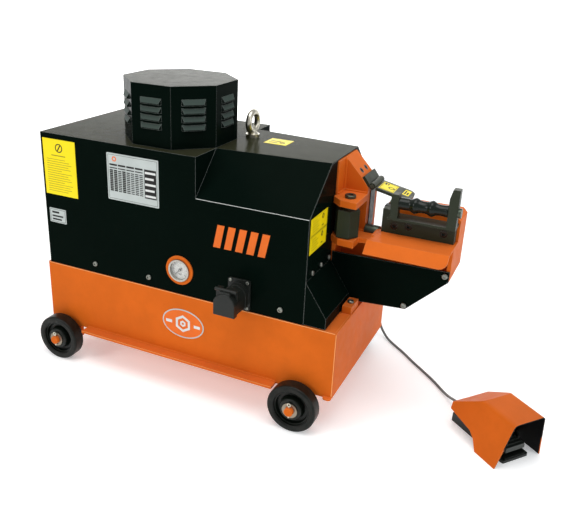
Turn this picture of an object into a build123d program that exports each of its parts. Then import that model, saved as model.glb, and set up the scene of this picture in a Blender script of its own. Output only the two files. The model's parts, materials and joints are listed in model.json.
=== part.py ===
from build123d import *
from math import cos, pi, radians, sin, sqrt, tan
import os

# Electro-hydraulic rebar cutter on four wheels, with a cabled foot pedal.
#
# Machine coordinates, in millimetres: "along" runs from the motor end to the cutting head (+X),
# "across" runs from the operator's side to the rear (+Y), and heights are above the floor (+Z).
# The origin of the exported pieces is on the floor, under the middle of the machine and its pedal.

os.makedirs("parts", exist_ok=True)

# ---- driving dimensions --------------------------------------------------------------------------
body_width = 460
sheet = 3

wheel_radius = 70
wheel_width = 40
axle_radius = 12.5
axle_stations = (50, 836)
axle_overhang = 68
running_gap = 0.05

tank_ends = (-8, 931)
tank_foot = 102
tank_top = 299
tank_wall = 5
lid_thickness = 6

hood_top = 703
hood_step = 513
hood_length = 837
hood_inset = 3

motor_station = (363, 176)
cover_radius = 160.8
cover_top = 870
louvre_pitch = 22
louvre_rows = 4
louvre_top = 43
louvre_width = 65
louvre_height = 16
louvre_depth = 7

plate_front = 240
plate_back = 330
throat = (909, 963)
throat_floor = 487
head_end = 1162
nose_front = 185
ram_across = 284
ram_height = 556
ram_stroke = 48
blade_width = 40
blade_heights = (503, 609)
fixed_blade_heights = (522, 583)

stop_station = (880, 180)
stop_gap = (499, 589)
stop_flats = 59
stop_top = 578

inlet_reach = 72
lid_gap = 0.3
lid_thick = 17.7

pedal_corner = (1218, 214)
pedal_heading = -39.4
pedal_width = 87
pedal_length = 208
guard_nose = 211
guard_height = 135
guard_top_half = 50
guard_foot_half = 78.5

cable_diameter = 8

# ---- the part's frame ----------------------------------------------------------------------------
pedal_forward = Vector(cos(radians(pedal_heading)), sin(radians(pedal_heading)), 0)
pedal_sideways = Vector(-pedal_forward.Y, pedal_forward.X, 0)
guard_corner = (Vector(*pedal_corner, 0) + pedal_forward * guard_nose
                + pedal_sideways * (pedal_width / 2 + guard_foot_half))
leftmost = axle_stations[0] - wheel_radius
middle_along = (leftmost + guard_corner.X) / 2
frontmost = -(inlet_reach + lid_gap + lid_thick)
middle_across = (frontmost + body_width + axle_overhang) / 2


def point(along, across, height):
    """A machine position in the part's frame."""
    return Vector(along - middle_along, across - middle_across, height)


def level(height):
    """Horizontal plane: sketch x is along, sketch y is across."""
    return Plane(origin=point(0, 0, height), x_dir=(1, 0, 0), z_dir=(0, 0, 1))


def facing_front(across):
    """Upright plane looking at the operator: x is along, y is up, and it extrudes towards -Y."""
    return Plane(origin=point(0, across, 0), x_dir=(1, 0, 0), z_dir=(0, -1, 0))


def facing_end(along):
    """Upright plane looking past the head: x is across, y is up, and it extrudes towards +X."""
    return Plane(origin=point(along, 0, 0), x_dir=(0, 1, 0), z_dir=(1, 0, 0))


def pedal_level(height):
    """Horizontal plane of the pedal: x is forward, y is sideways."""
    origin = point(*pedal_corner, height)
    return Plane(origin=origin, x_dir=pedal_forward, z_dir=(0, 0, 1))


def pedal_side(sideways):
    """Upright plane along the pedal: x is forward, y is up, and it extrudes towards the near side."""
    origin = point(*pedal_corner, 0) + pedal_sideways * sideways
    return Plane(origin=origin, x_dir=pedal_forward, z_dir=-pedal_sideways)


def pedal_section(forward):
    """Upright plane across the pedal: x is sideways, y is up, and it extrudes forward."""
    origin = point(*pedal_corner, 0) + pedal_forward * forward
    return Plane(origin=origin, x_dir=pedal_sideways, z_dir=pedal_forward)


# ---- sketch helpers ------------------------------------------------------------------------------
def disc(plane, centre, radius):
    with BuildSketch(plane) as shape:
        with Locations(centre):
            Circle(radius)
    return shape.sketch


def ring(plane, centre, outer, inner):
    with BuildSketch(plane) as shape:
        with Locations(centre):
            Circle(outer)
            Circle(inner, mode=Mode.SUBTRACT)
    return shape.sketch


def block(plane, low, high, corner=0):
    """Rectangle between two opposite corners, with its corners rounded if a radius is given."""
    width = high[0] - low[0]
    height = high[1] - low[1]
    with BuildSketch(plane) as shape:
        with Locations(((low[0] + high[0]) / 2, (low[1] + high[1]) / 2)):
            if corner:
                RectangleRounded(width, height, corner)
            else:
                Rectangle(width, height)
    return shape.sketch


def outline(plane, points):
    with BuildSketch(plane) as shape:
        with BuildLine():
            Polyline(*points, close=True)
        make_face()
    return shape.sketch


def hexagon(plane, centre, flats, turn=0):
    with BuildSketch(plane) as shape:
        with Locations(Location((*centre, 0), (0, 0, turn))):
            RegularPolygon(flats / 2, 6, major_radius=False)
    return shape.sketch


def save(part, node):
    part.label = node
    export_step(part, f"parts/{node}.step")


# ---- wheeled base --------------------------------------------------------------------------------
flange_width = 33
flange_span = (130, 769)
flange_thickness = 6
bracket_thickness = 12
bracket_half = 26
bracket_inset = 30
axle_height = wheel_radius
head_foot_block = (902, 928)
corner_tab = (908, 12, 8)

with BuildPart() as base_tank:
    extrude(block(level(tank_foot), (tank_ends[0], 0), (tank_ends[1], body_width)),
            amount=tank_top - tank_foot)
    vertical_edges = base_tank.edges().filter_by(Axis.Z)
    fillet(vertical_edges, radius=4)
    inside = ((tank_ends[0] + tank_wall, tank_wall), (tank_ends[1] - tank_wall, body_width - tank_wall))
    extrude(block(level(tank_foot + tank_wall), *inside), amount=tank_top - tank_foot,
            mode=Mode.SUBTRACT)
    # folded foot flanges between the wheels, front and rear
    for near, far in ((-flange_width, tank_wall), (body_width - tank_wall, body_width + flange_width)):
        extrude(block(level(tank_foot), (flange_span[0], near), (flange_span[1], far)),
                amount=flange_thickness)
    # rounded tabs at the corners of the head end
    tab_start, tab_reach, tab_corner = corner_tab
    for across in (0, body_width):
        extrude(block(level(tank_foot), (tab_start, across - tab_reach), (tank_ends[1], across + tab_reach),
                      tab_corner), amount=tank_wall)
    # axle brackets welded under the floor of the tank
    for station in axle_stations:
        for across in (bracket_inset + bracket_thickness, body_width - bracket_inset):
            extrude(block(facing_front(across), (station - bracket_half, axle_height - bracket_half),
                          (station + bracket_half, tank_foot)), amount=bracket_thickness)
            extrude(disc(facing_front(across), (station, axle_height), axle_radius),
                    amount=bracket_thickness, mode=Mode.SUBTRACT)
save(base_tank.part, "base_tank")

pump_opening = 48
with BuildPart() as tank_lid:
    extrude(block(level(tank_top - lid_thickness), *inside), amount=lid_thickness)
    extrude(disc(level(tank_top - lid_thickness), motor_station, pump_opening),
            amount=lid_thickness, mode=Mode.SUBTRACT)
    # orange lug with the bolt that ties the head down to the lid
    extrude(block(level(tank_top), (head_foot_block[0], 120), (head_foot_block[1], 180)), amount=22)
save(tank_lid.part, "tank_lid")

with BuildPart() as wheel_axles:
    for station in axle_stations:
        extrude(disc(facing_front(body_width + axle_overhang), (station, axle_height), axle_radius),
                amount=body_width + 2 * axle_overhang)
        # holes for the split pins
        for across in (-axle_overhang + 7, body_width + axle_overhang - 7):
            extrude(disc(level(0), (station, across), 2.5), amount=2 * wheel_radius, mode=Mode.SUBTRACT)
    chamfer(wheel_axles.edges().filter_by(GeomType.CIRCLE).group_by(Axis.Y)[0], length=1.5)
    chamfer(wheel_axles.edges().filter_by(GeomType.CIRCLE).group_by(Axis.Y)[-1], length=1.5)
save(wheel_axles.part, "wheel_axles")

hub_reach = 54
washer_thickness = 3
with BuildPart() as axle_washers:
    for station in axle_stations:
        for outer_face in (-hub_reach - 0.3, body_width + hub_reach + 0.3 + washer_thickness):
            extrude(ring(facing_front(outer_face), (station, axle_height), 22, axle_radius),
                    amount=washer_thickness)
save(axle_washers.part, "axle_washers")

with BuildPart() as split_pins:
    for station in axle_stations:
        for across in (-axle_overhang + 7, body_width + axle_overhang - 7):
            extrude(disc(level(axle_height - 19), (station, across), 2.5), amount=36)
            # the eye of the pin above the axle
            extrude(ring(facing_front(across + 2), (station, axle_height + 21), 5.5, 2.8), amount=4)
save(split_pins.part, "split_pins")


def axle_plane(centre, outward):
    """Sketch plane through the axle: x runs out from the machine along the axle, y is up."""
    return Plane(origin=centre, x_dir=(0, outward, 0), z_dir=(outward, 0, 0))


tyre_inner = 51
hub_start = 8
tread_start = 12


def tyre(centre, outward):
    plane = axle_plane(centre, outward)
    with BuildPart() as part:
        with BuildSketch(plane) as section:
            with Locations((tread_start + wheel_width / 2, (wheel_radius + tyre_inner) / 2)):
                RectangleRounded(wheel_width, wheel_radius - tyre_inner, 6)
            with Locations((tread_start + wheel_width / 2, tyre_inner + 4)):
                Rectangle(wheel_width - 6, 8)
        revolve(section.sketch, axis=Axis(centre, (0, 1, 0)))
    return part.part


def hub(centre, outward):
    plane = axle_plane(centre, outward)
    bore = axle_radius + running_gap
    far = tread_start + wheel_width
    with BuildPart() as part:
        with BuildSketch(plane) as section:
            with BuildLine():
                Polyline((hub_start, bore), (hub_reach, bore), (hub_reach, 29), (hub_reach - 3, 32),
                         (34, 36), (34, 44), (far - 8, 47), (far - 8, tyre_inner),
                         (tread_start + 8, tyre_inner), (tread_start + 8, 46), (26, 43), (26, 30),
                         (hub_start, 27), close=True)
            make_face()
        revolve(section.sketch, axis=Axis(centre, (0, 1, 0)))
    return part.part


for end_name, station in zip(("motor_end", "head_end"), axle_stations):
    for side_name, across, outward in (("front", 0, -1), ("rear", body_width, 1)):
        wheel_centre = point(station, across, axle_height)
        save(tyre(wheel_centre, outward), f"tyre_{side_name}_{end_name}")
        save(hub(wheel_centre, outward), f"hub_{side_name}_{end_name}")

# ---- hood ----------------------------------------------------------------------------------------
hood_back = body_width - hood_inset
bevel_at_step = (113, 379)
bevel_at_end = (142, 350)
bevel_foot_front = 591
bevel_foot_rear = (625, 610)
gauge_centre = (462, 373)
inlet_centre = (650, 347)
eyebolt_station = (538, ram_across)


def hood_section(along, top_edges, rear_foot, inset):
    """Cross-section of the bevelled part of the hood, pulled in by the sheet for its inside."""
    near, far = top_edges
    slope = 0.42 * inset
    return outline(facing_end(along), [
        (hood_inset + inset, tank_top - inset), (hood_inset + inset, bevel_foot_front - slope),
        (near + slope, hood_top - inset), (far - slope, hood_top - inset),
        (hood_back - inset, rear_foot - slope), (hood_back - inset, tank_top - inset)])


with BuildPart() as hood_shell:
    extrude(block(level(tank_top), (0, hood_inset), (hood_step, hood_back)), amount=hood_top - tank_top)
    loft([hood_section(hood_step, bevel_at_step, bevel_foot_rear[0], 0),
          hood_section(hood_length, bevel_at_end, bevel_foot_rear[1], 0)])
    extrude(block(level(tank_top - 1), (sheet, hood_inset + sheet), (hood_step - sheet, hood_back - sheet)),
            amount=hood_top - tank_top - sheet + 1, mode=Mode.SUBTRACT)
    loft([hood_section(hood_step - 2 * sheet, bevel_at_step, bevel_foot_rear[0], sheet),
          hood_section(hood_length + 1, bevel_at_end, bevel_foot_rear[1], sheet)], mode=Mode.SUBTRACT)
    # openings for the motor, the lifting eye, the pressure gauge and the power inlet
    extrude(disc(level(hood_top - 2 * sheet), motor_station, 118), amount=20, mode=Mode.SUBTRACT)
    extrude(disc(level(hood_top - 2 * sheet), eyebolt_station, 12), amount=20, mode=Mode.SUBTRACT)
    extrude(disc(facing_front(20), gauge_centre, 33), amount=30, mode=Mode.SUBTRACT)
    extrude(disc(facing_front(20), inlet_centre, 24), amount=30, mode=Mode.SUBTRACT)
save(hood_shell.part, "hood_shell")

apron_crease = 422
apron_foot = (898, 332)
apron_bottom = 302
frame_slot = (nose_front - 4, plate_back + 2)
gusset = ((831, 186, 607), (841, plate_front, 698))

with BuildPart() as hood_end_panel:
    # upright part, just inside the end of the hood
    extrude(hood_section(hood_length - sheet, bevel_at_end, bevel_foot_rear[1], sheet + 0.2), amount=sheet)
    extrude(block(facing_end(hood_length - 2 * sheet), (0, tank_top - 10), (body_width, apron_crease - 12)),
            amount=3 * sheet, mode=Mode.SUBTRACT)
    # sloping apron over the base, closed by a gusset at each side
    extrude(outline(facing_front(hood_back), [
        (hood_length, apron_crease), apron_foot, (apron_foot[0], apron_bottom),
        (apron_foot[0] - sheet, apron_bottom), (apron_foot[0] - sheet, apron_foot[1] - 1),
        (hood_length, apron_crease - 5)]), amount=hood_back - hood_inset)
    for across in (hood_inset + sheet, hood_back):
        extrude(outline(facing_front(across), [(hood_length, apron_crease), apron_foot,
                                               (apron_foot[0], apron_bottom), (hood_length, apron_bottom)]),
                amount=sheet)
    # opening for the cutting head, wider below for the nose body
    extrude(block(facing_end(hood_length - 20), (plate_front - 2, apron_bottom + 10),
                  (plate_back + 2, hood_top + 1)), amount=100, mode=Mode.SUBTRACT)
    extrude(block(facing_end(hood_length - 20), (frame_slot[0], apron_bottom + 10), (frame_slot[1], 502)),
            amount=100, mode=Mode.SUBTRACT)
    extrude(block(facing_end(hood_length - 20), (gusset[0][1] - 2, gusset[0][2] - 2),
                  (plate_front, hood_top + 1)), amount=100, mode=Mode.SUBTRACT)
save(hood_end_panel.part, "hood_end_panel")

# pressed louvre, in its own frame: x along the face, y up it, z out of it
with BuildPart() as louvre:
    extrude(outline(Plane.XZ.offset(-louvre_height / 2), [
        (-louvre_width / 2, -1), (-louvre_width / 2, 0), (-louvre_width / 2 + 5, louvre_depth),
        (louvre_width / 2 - 5, louvre_depth), (louvre_width / 2, 0), (louvre_width / 2, -1)]),
            amount=louvre_height)
    extrude(outline(Plane.YZ.offset(-louvre_width), [
        (louvre_height / 2, 0.2), (-louvre_height / 3, louvre_depth), (-louvre_height / 3, 2 * louvre_depth),
        (louvre_height, 2 * louvre_depth), (louvre_height, 0.2)]), amount=2 * louvre_width,
            mode=Mode.SUBTRACT)

with BuildPart() as louvre_slot:
    extrude(outline(Plane.YZ.offset(-louvre_width / 2 + 6), [
        (louvre_height / 4, -5), (louvre_height / 4, 0), (-louvre_height / 3, louvre_depth - 1.6),
        (-louvre_height, louvre_depth - 1.6), (-louvre_height, 0.01), (-louvre_height / 3, 0.01),
        (-louvre_height / 3, -5)]), amount=louvre_width - 12)

cover_apothem = cover_radius * cos(radians(22.5))
with BuildPart() as motor_cover:
    with BuildSketch(level(hood_top)):
        with Locations(motor_station):
            RegularPolygon(cover_apothem, 8, major_radius=False, rotation=22.5)
            RegularPolygon(cover_apothem - sheet, 8, major_radius=False, rotation=22.5,
                           mode=Mode.SUBTRACT)
    extrude(amount=cover_top - hood_top - sheet)
    with BuildSketch(level(cover_top - sheet)):
        with Locations(motor_station):
            RegularPolygon(cover_apothem, 8, major_radius=False, rotation=22.5)
    extrude(amount=sheet)
    louvre_frames = []
    for face in range(8):
        normal = Vector(1, 0, 0).rotate(Axis.Z, 45 * face)
        sideways = Vector(0, 0, 1).cross(normal)
        for row in range(louvre_rows):
            height = cover_top - louvre_top - louvre_pitch * row
            origin = point(*motor_station, height) + normal * cover_apothem
            louvre_frames.append(Plane(origin=origin, x_dir=sideways, z_dir=normal))
    with Locations(*louvre_frames):
        add(louvre.part)
    with Locations(*louvre_frames):
        add(louvre_slot.part, mode=Mode.SUBTRACT)
save(motor_cover.part, "motor_cover")

ring_radius = 28
ring_section = 9
with BuildPart() as lifting_eyebolt:
    eye_height = hood_top + 10 + ring_radius + ring_section - 3
    eye_centre = point(*eyebolt_station, eye_height)
    extrude(disc(level(655), eyebolt_station, 10), amount=hood_top - 655)
    extrude(disc(level(hood_top), eyebolt_station, 20), amount=10)
    extrude(disc(level(hood_top + 10), eyebolt_station, 16), amount=8, taper=30)
    with Locations(Plane(origin=eye_centre, x_dir=(0, 1, 0), z_dir=(1, 0, 0))):
        Torus(ring_radius, ring_section)
    extrude(disc(facing_end(eyebolt_station[0] - 20), (ram_across, eye_height), 20), amount=40,
            mode=Mode.SUBTRACT)
save(lifting_eyebolt.part, "lifting_eyebolt")

# ---- pressure gauge ------------------------------------------------------------------------------
with BuildPart() as gauge_flange:
    extrude(ring(facing_front(hood_inset), gauge_centre, 43, 32.5), amount=4)
    fillet(gauge_flange.edges().filter_by(GeomType.CIRCLE).group_by(Axis.Y)[0], radius=1.5)
save(gauge_flange.part, "gauge_flange")

with BuildPart() as gauge_case:
    extrude(disc(facing_front(35), gauge_centre, 31), amount=28)
    extrude(ring(facing_front(7), gauge_centre, 32.5, 27), amount=12)
    extrude(ring(facing_front(7), gauge_centre, 32.5, 29), amount=6, mode=Mode.ADD)
    # pressure connection at the back
    extrude(disc(facing_front(55), gauge_centre, 8), amount=20)
save(gauge_case.part, "gauge_case")

with BuildPart() as gauge_dial:
    extrude(disc(facing_front(7), gauge_centre, 27), amount=1.5)
    # pivot for the needle
    extrude(disc(facing_front(5.5), gauge_centre, 1.5), amount=4.5)
save(gauge_dial.part, "gauge_dial")

needle_rest = 225
with BuildPart() as gauge_needle:
    needle_plane = facing_front(3.6)
    extrude(disc(needle_plane, gauge_centre, 4), amount=1.2)
    needle_origin = point(gauge_centre[0], 3.6, gauge_centre[1])
    pointing = Vector(cos(radians(needle_rest)), 0, sin(radians(needle_rest)))
    extrude(outline(Plane(origin=needle_origin, x_dir=pointing, z_dir=(0, -1, 0)),
                    [(-8, -1.6), (23, -0.5), (23, 0.5), (-8, 1.6)]), amount=1.2)
    extrude(disc(facing_front(20), gauge_centre, 1.5 + running_gap), amount=40, mode=Mode.SUBTRACT)
save(gauge_needle.part, "gauge_needle")

# ---- power inlet ---------------------------------------------------------------------------------
inlet_half = 29
inlet_hinge = (-76, 388.5)
hinge_pin_radius = 2.5


def arch(plane, half, foot):
    """Arch: a half round above the inlet's centre and a flat foot below it."""
    along, height = inlet_centre[0], inlet_centre[1] + 4
    with BuildSketch(plane) as shape:
        with Locations((along, height)):
            Circle(half)
        with Locations((along, height - foot / 2)):
            Rectangle(2 * half, foot)
    return shape.sketch


with BuildPart() as inlet_housing:
    flange_low = (inlet_centre[0] - 33, inlet_centre[1] - 44)
    flange_high = (inlet_centre[0] + 33, inlet_centre[1] + 44)
    extrude(block(facing_front(hood_inset), flange_low, flange_high, 6), amount=6)
    extrude(arch(facing_front(-3), inlet_half, inlet_half), amount=inlet_reach - 3)
    extrude(arch(facing_front(-14), inlet_half + 2, inlet_half + 2), amount=8)
    # knuckles for the lid's hinge, on each side of the lid's own
    for low, high in ((619, 634.8), (665.2, 681)):
        extrude(disc(facing_end(low), inlet_hinge, 5), amount=high - low)
        extrude(block(facing_end(low), (-inlet_reach, 362), (-58, 390)), amount=high - low)
    extrude(arch(facing_front(-14), inlet_half - 5, inlet_half - 5), amount=inlet_reach, mode=Mode.SUBTRACT)
    # contact pins inside the shroud: five in a ring
    for turn in range(5):
        angle = radians(90 + 72 * turn)
        centre = (inlet_centre[0] + 13 * cos(angle), inlet_centre[1] + 4 + 13 * sin(angle))
        extrude(disc(facing_front(-13), centre, 2.8), amount=36)
    extrude(disc(facing_end(634.8), inlet_hinge, 5.6), amount=30.4, mode=Mode.SUBTRACT)
    extrude(disc(facing_end(610), inlet_hinge, hinge_pin_radius), amount=80, mode=Mode.SUBTRACT)
save(inlet_housing.part, "inlet_housing")

with BuildPart() as inlet_lid:
    extrude(arch(facing_front(-inlet_reach - lid_gap), inlet_half + 2, inlet_half + 3), amount=lid_thick)
    front_edges = inlet_lid.edges().group_by(Axis.Y)[0]
    fillet(front_edges, radius=3)
    # room for the contact pins and the shroud's knuckles
    extrude(arch(facing_front(-inlet_reach), inlet_half - 6, inlet_half - 6), amount=8, mode=Mode.SUBTRACT)
    with BuildSketch(facing_end(635)):
        with Locations(inlet_hinge):
            Circle(5)
        with Locations((-80.5, 382)):
            Rectangle(11, 9)
    extrude(amount=30)
    extrude(disc(facing_end(610), inlet_hinge, hinge_pin_radius + running_gap), amount=80,
            mode=Mode.SUBTRACT)
    for low, high in ((600, 635), (665, 700)):
        extrude(disc(facing_end(low), inlet_hinge, 5.6), amount=high - low, mode=Mode.SUBTRACT)
save(inlet_lid.part, "inlet_lid")

# ---- motor and pump ------------------------------------------------------------------------------
motor_foot = 400
motor_body_top = 716
motor_top = 846
coupling_heights = (318, 388)
pump_shaft_radius = 9

with BuildPart() as bellhousing:
    extrude(ring(level(tank_top), motor_station, 100, 52), amount=10)
    extrude(ring(level(tank_top + 10), motor_station, 62, 52), amount=motor_foot - tank_top - 20)
    extrude(ring(level(motor_foot - 10), motor_station, 98, 52), amount=10)
save(bellhousing.part, "bellhousing")

with BuildPart() as motor_housing:
    extrude(ring(level(motor_foot), motor_station, 98, 70), amount=motor_body_top - motor_foot)
    # end shields with the bearing bores
    for height in (motor_foot, motor_body_top - 14):
        extrude(ring(level(height), motor_station, 72, 14.05), amount=14)
    # cooling fins all round
    for fin in range(28):
        angle = 360 / 28 * fin
        normal = Vector(1, 0, 0).rotate(Axis.Z, angle)
        fin_plane = Plane(origin=point(*motor_station, motor_foot + 16), x_dir=normal, z_dir=(0, 0, 1))
        with BuildSketch(fin_plane):
            with Locations((103, 0)):
                Rectangle(12, 3)
        extrude(amount=motor_body_top - motor_foot - 40)
save(motor_housing.part, "motor_housing")

with BuildPart() as motor_rotor:
    extrude(disc(level(346), motor_station, 14), amount=motor_top - 20 - 346)
    extrude(disc(level(470), motor_station, 58), amount=180)
save(motor_rotor.part, "motor_rotor")

with BuildPart() as cooling_fan:
    extrude(ring(level(740), motor_station, 26, 14), amount=34)
    extrude(ring(level(740), motor_station, 90, 20), amount=4)
    for blade in range(8):
        direction = Vector(1, 0, 0).rotate(Axis.Z, 45 * blade)
        blade_plane = Plane(origin=point(*motor_station, 742), x_dir=direction, z_dir=(0, 0, 1))
        with BuildSketch(blade_plane):
            with Locations((56, 0)):
                Rectangle(66, 3)
        extrude(amount=34)
save(cooling_fan.part, "cooling_fan")

with BuildPart() as fan_cowl:
    extrude(ring(level(motor_body_top), motor_station, 102, 98), amount=motor_top - motor_body_top)
    extrude(ring(level(motor_body_top), motor_station, 100, 80), amount=3)
    extrude(disc(level(motor_top - 3), motor_station, 100), amount=3)
    for reach in (34, 54, 74):
        count = reach // 5
        for slot in range(count):
            direction = Vector(1, 0, 0).rotate(Axis.Z, 360 / count * slot)
            hole_centre = (motor_station[0] + direction.X * reach, motor_station[1] + direction.Y * reach)
            extrude(disc(level(motor_top - 6), hole_centre, 5), amount=10, mode=Mode.SUBTRACT)
save(fan_cowl.part, "fan_cowl")

with BuildPart() as shaft_coupling:
    low, high = coupling_heights
    extrude(ring(level(low), motor_station, 36, 14), amount=high - low)
    # the flexible spider's gap between the two halves
    extrude(ring(level((low + high) / 2 - 3), motor_station, 37, 26), amount=6, mode=Mode.SUBTRACT)
    # the pump's shaft, held in the lower half
    extrude(disc(level(low - 26), motor_station, pump_shaft_radius), amount=26)
    extrude(disc(level(low), motor_station, 14), amount=26)
save(shaft_coupling.part, "shaft_coupling")

with BuildPart() as gear_pump:
    pump_low = (motor_station[0] - 45, motor_station[1] - 62)
    pump_high = (motor_station[0] + 45, motor_station[1] + 40)
    extrude(block(level(160), pump_low, pump_high, 8), amount=110)
    extrude(disc(level(270), motor_station, 46), amount=36)
    extrude(disc(level(286), motor_station, pump_shaft_radius + running_gap), amount=40, mode=Mode.SUBTRACT)
    # pressure and suction ports
    for side in (-1, 1):
        port = (motor_station[0] + side * 45, 215)
        extrude(disc(facing_end(port[0]), (motor_station[1] - 12, 215), 14), amount=side * 14)
save(gear_pump.part, "gear_pump")

with BuildPart() as valve_block:
    extrude(block(level(tank_top), (560, 60), (640, 160)), amount=90)
    # two solenoids side by side, with a pilot valve between them
    for across in (85, 135):
        extrude(disc(level(tank_top + 90), (600, across), 22), amount=62)
    extrude(disc(facing_front(60), (600, tank_top + 30), 12), amount=18)
save(valve_block.part, "valve_block")

def bend_radii(points):
    """Arc radius at each inner point: 0.45 of the shorter run over the tangent of half the turn."""
    radii = []
    for before, here, after in zip(points, points[1:], points[2:]):
        arriving = here - before
        leaving = after - here
        turn = radians(arriving.get_angle(leaving))
        radii.append(0.45 * min(arriving.length, leaving.length) / tan(turn / 2))
    return radii


def tube(points, radius):
    """Tube along straight runs joined by tangent arcs."""
    radii = bend_radii(points)
    with BuildPart() as body:
        with BuildLine():
            path = FilletPolyline(*points, radius=radii)
        with BuildSketch(Plane(origin=path @ 0, z_dir=path % 0)):
            Circle(radius)
        sweep(path=path)
    return body.part, path.length, radii


hose_port = (540, ram_across)
port_face = 446
hose_route = [(600, 160, 345), (600, 185, 345), (592, 222, 347), (570, 262, 362), (546, 280, 390),
              (*hose_port, 420), (*hose_port, port_face)]
pressure_hose, hose_length, hose_radii = tube([point(*place) for place in hose_route], 9)
save(pressure_hose, "pressure_hose")

# ---- cylinder and ram ----------------------------------------------------------------------------
barrel_ends = (500, 722)
barrel_radius = 100
bore_radius = 80
piston = (532, 582)
rod_radius = 35
rod_end = 792
gland_start = 676
blade_start = 884
blade_front = 911
mount_plate = 18


def ram_disc(along, radius):
    return disc(facing_end(along), (ram_across, ram_height), radius)


with BuildPart() as cylinder_barrel:
    extrude(ram_disc(barrel_ends[0], barrel_radius), amount=barrel_ends[1] - barrel_ends[0])
    extrude(ram_disc(barrel_ends[0] + 28, bore_radius), amount=300, mode=Mode.SUBTRACT)
    # lifting boss on top, tapped for the eyebolt, and the pressure port below
    extrude(disc(level(640), eyebolt_station, 26), amount=hood_top - sheet - 640)
    extrude(disc(level(port_face), hose_port, 16), amount=24)
    extrude(ram_disc(barrel_ends[0] + 28, bore_radius), amount=300, mode=Mode.SUBTRACT)
    extrude(disc(level(655), eyebolt_station, 10), amount=60, mode=Mode.SUBTRACT)
save(cylinder_barrel.part, "cylinder_barrel")

with BuildPart() as cylinder_gland:
    extrude(ram_disc(gland_start, bore_radius), amount=barrel_ends[1] - gland_start)
    extrude(ram_disc(gland_start, rod_radius), amount=60, mode=Mode.SUBTRACT)
save(cylinder_gland.part, "cylinder_gland")

with BuildPart() as ram:
    extrude(ram_disc(piston[0], bore_radius - running_gap), amount=piston[1] - piston[0])
    extrude(ram_disc(piston[1], rod_radius - running_gap), amount=rod_end - piston[1])
save(ram.part, "ram")

slide_gap = 0.35
blade_sides = (ram_across - blade_width / 2, ram_across + blade_width / 2)
with BuildPart() as blade_carrier:
    extrude(block(facing_end(rod_end), (blade_sides[0], 501), (blade_sides[1], 611)),
            amount=blade_start - rod_end)
save(blade_carrier.part, "blade_carrier")

with BuildPart() as moving_blade:
    extrude(block(facing_end(blade_start), (blade_sides[0], blade_heights[0]),
                  (blade_sides[1], blade_heights[1])), amount=blade_front - blade_start)
    chamfer(moving_blade.edges().filter_by(Axis.Y).group_by(Axis.X)[-1], length=2)
save(moving_blade.part, "moving_blade")

# ---- head frame ----------------------------------------------------------------------------------
nose_shoulder = (841, 698)
nose_crease = (888, 648)
nose_lip = (907, 623)
jaw_top = 585
chute = [(head_end, 426), (1058, 324), (938, 316)]
nose_wall = 10
lug_thickness = 18
pocket_along = (958, 988)
stop_bolt_radius = 10
screw_radius = 6
jaw_screw_places = ((996, 538), (1034, 543), (1126, 541))
nose_screw_slide = 15.5
nose_screw_rows = (271, 307)
nose_screw_head = 9
rest_radius = 16
rest_length = 40
rest_centre = (plate_front + 7.5, throat_floor + rest_radius - 1)

nose_slope = Vector(nose_crease[0] - nose_shoulder[0], 0, nose_crease[1] - nose_shoulder[1]).normalized()
nose_normal = Vector(-nose_slope.Z, 0, nose_slope.X)
lug_outline = [(838, plate_front), (838, 170), (864, 146), (910, 142), (910, plate_front)]


def nose_plane(across):
    """Plane on the upper sloping face of the nose, a little above its crease."""
    origin = point(nose_crease[0], across, nose_crease[1]) - nose_slope * nose_screw_slide
    return Plane(origin=origin, x_dir=(0, 1, 0), z_dir=nose_normal)


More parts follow.
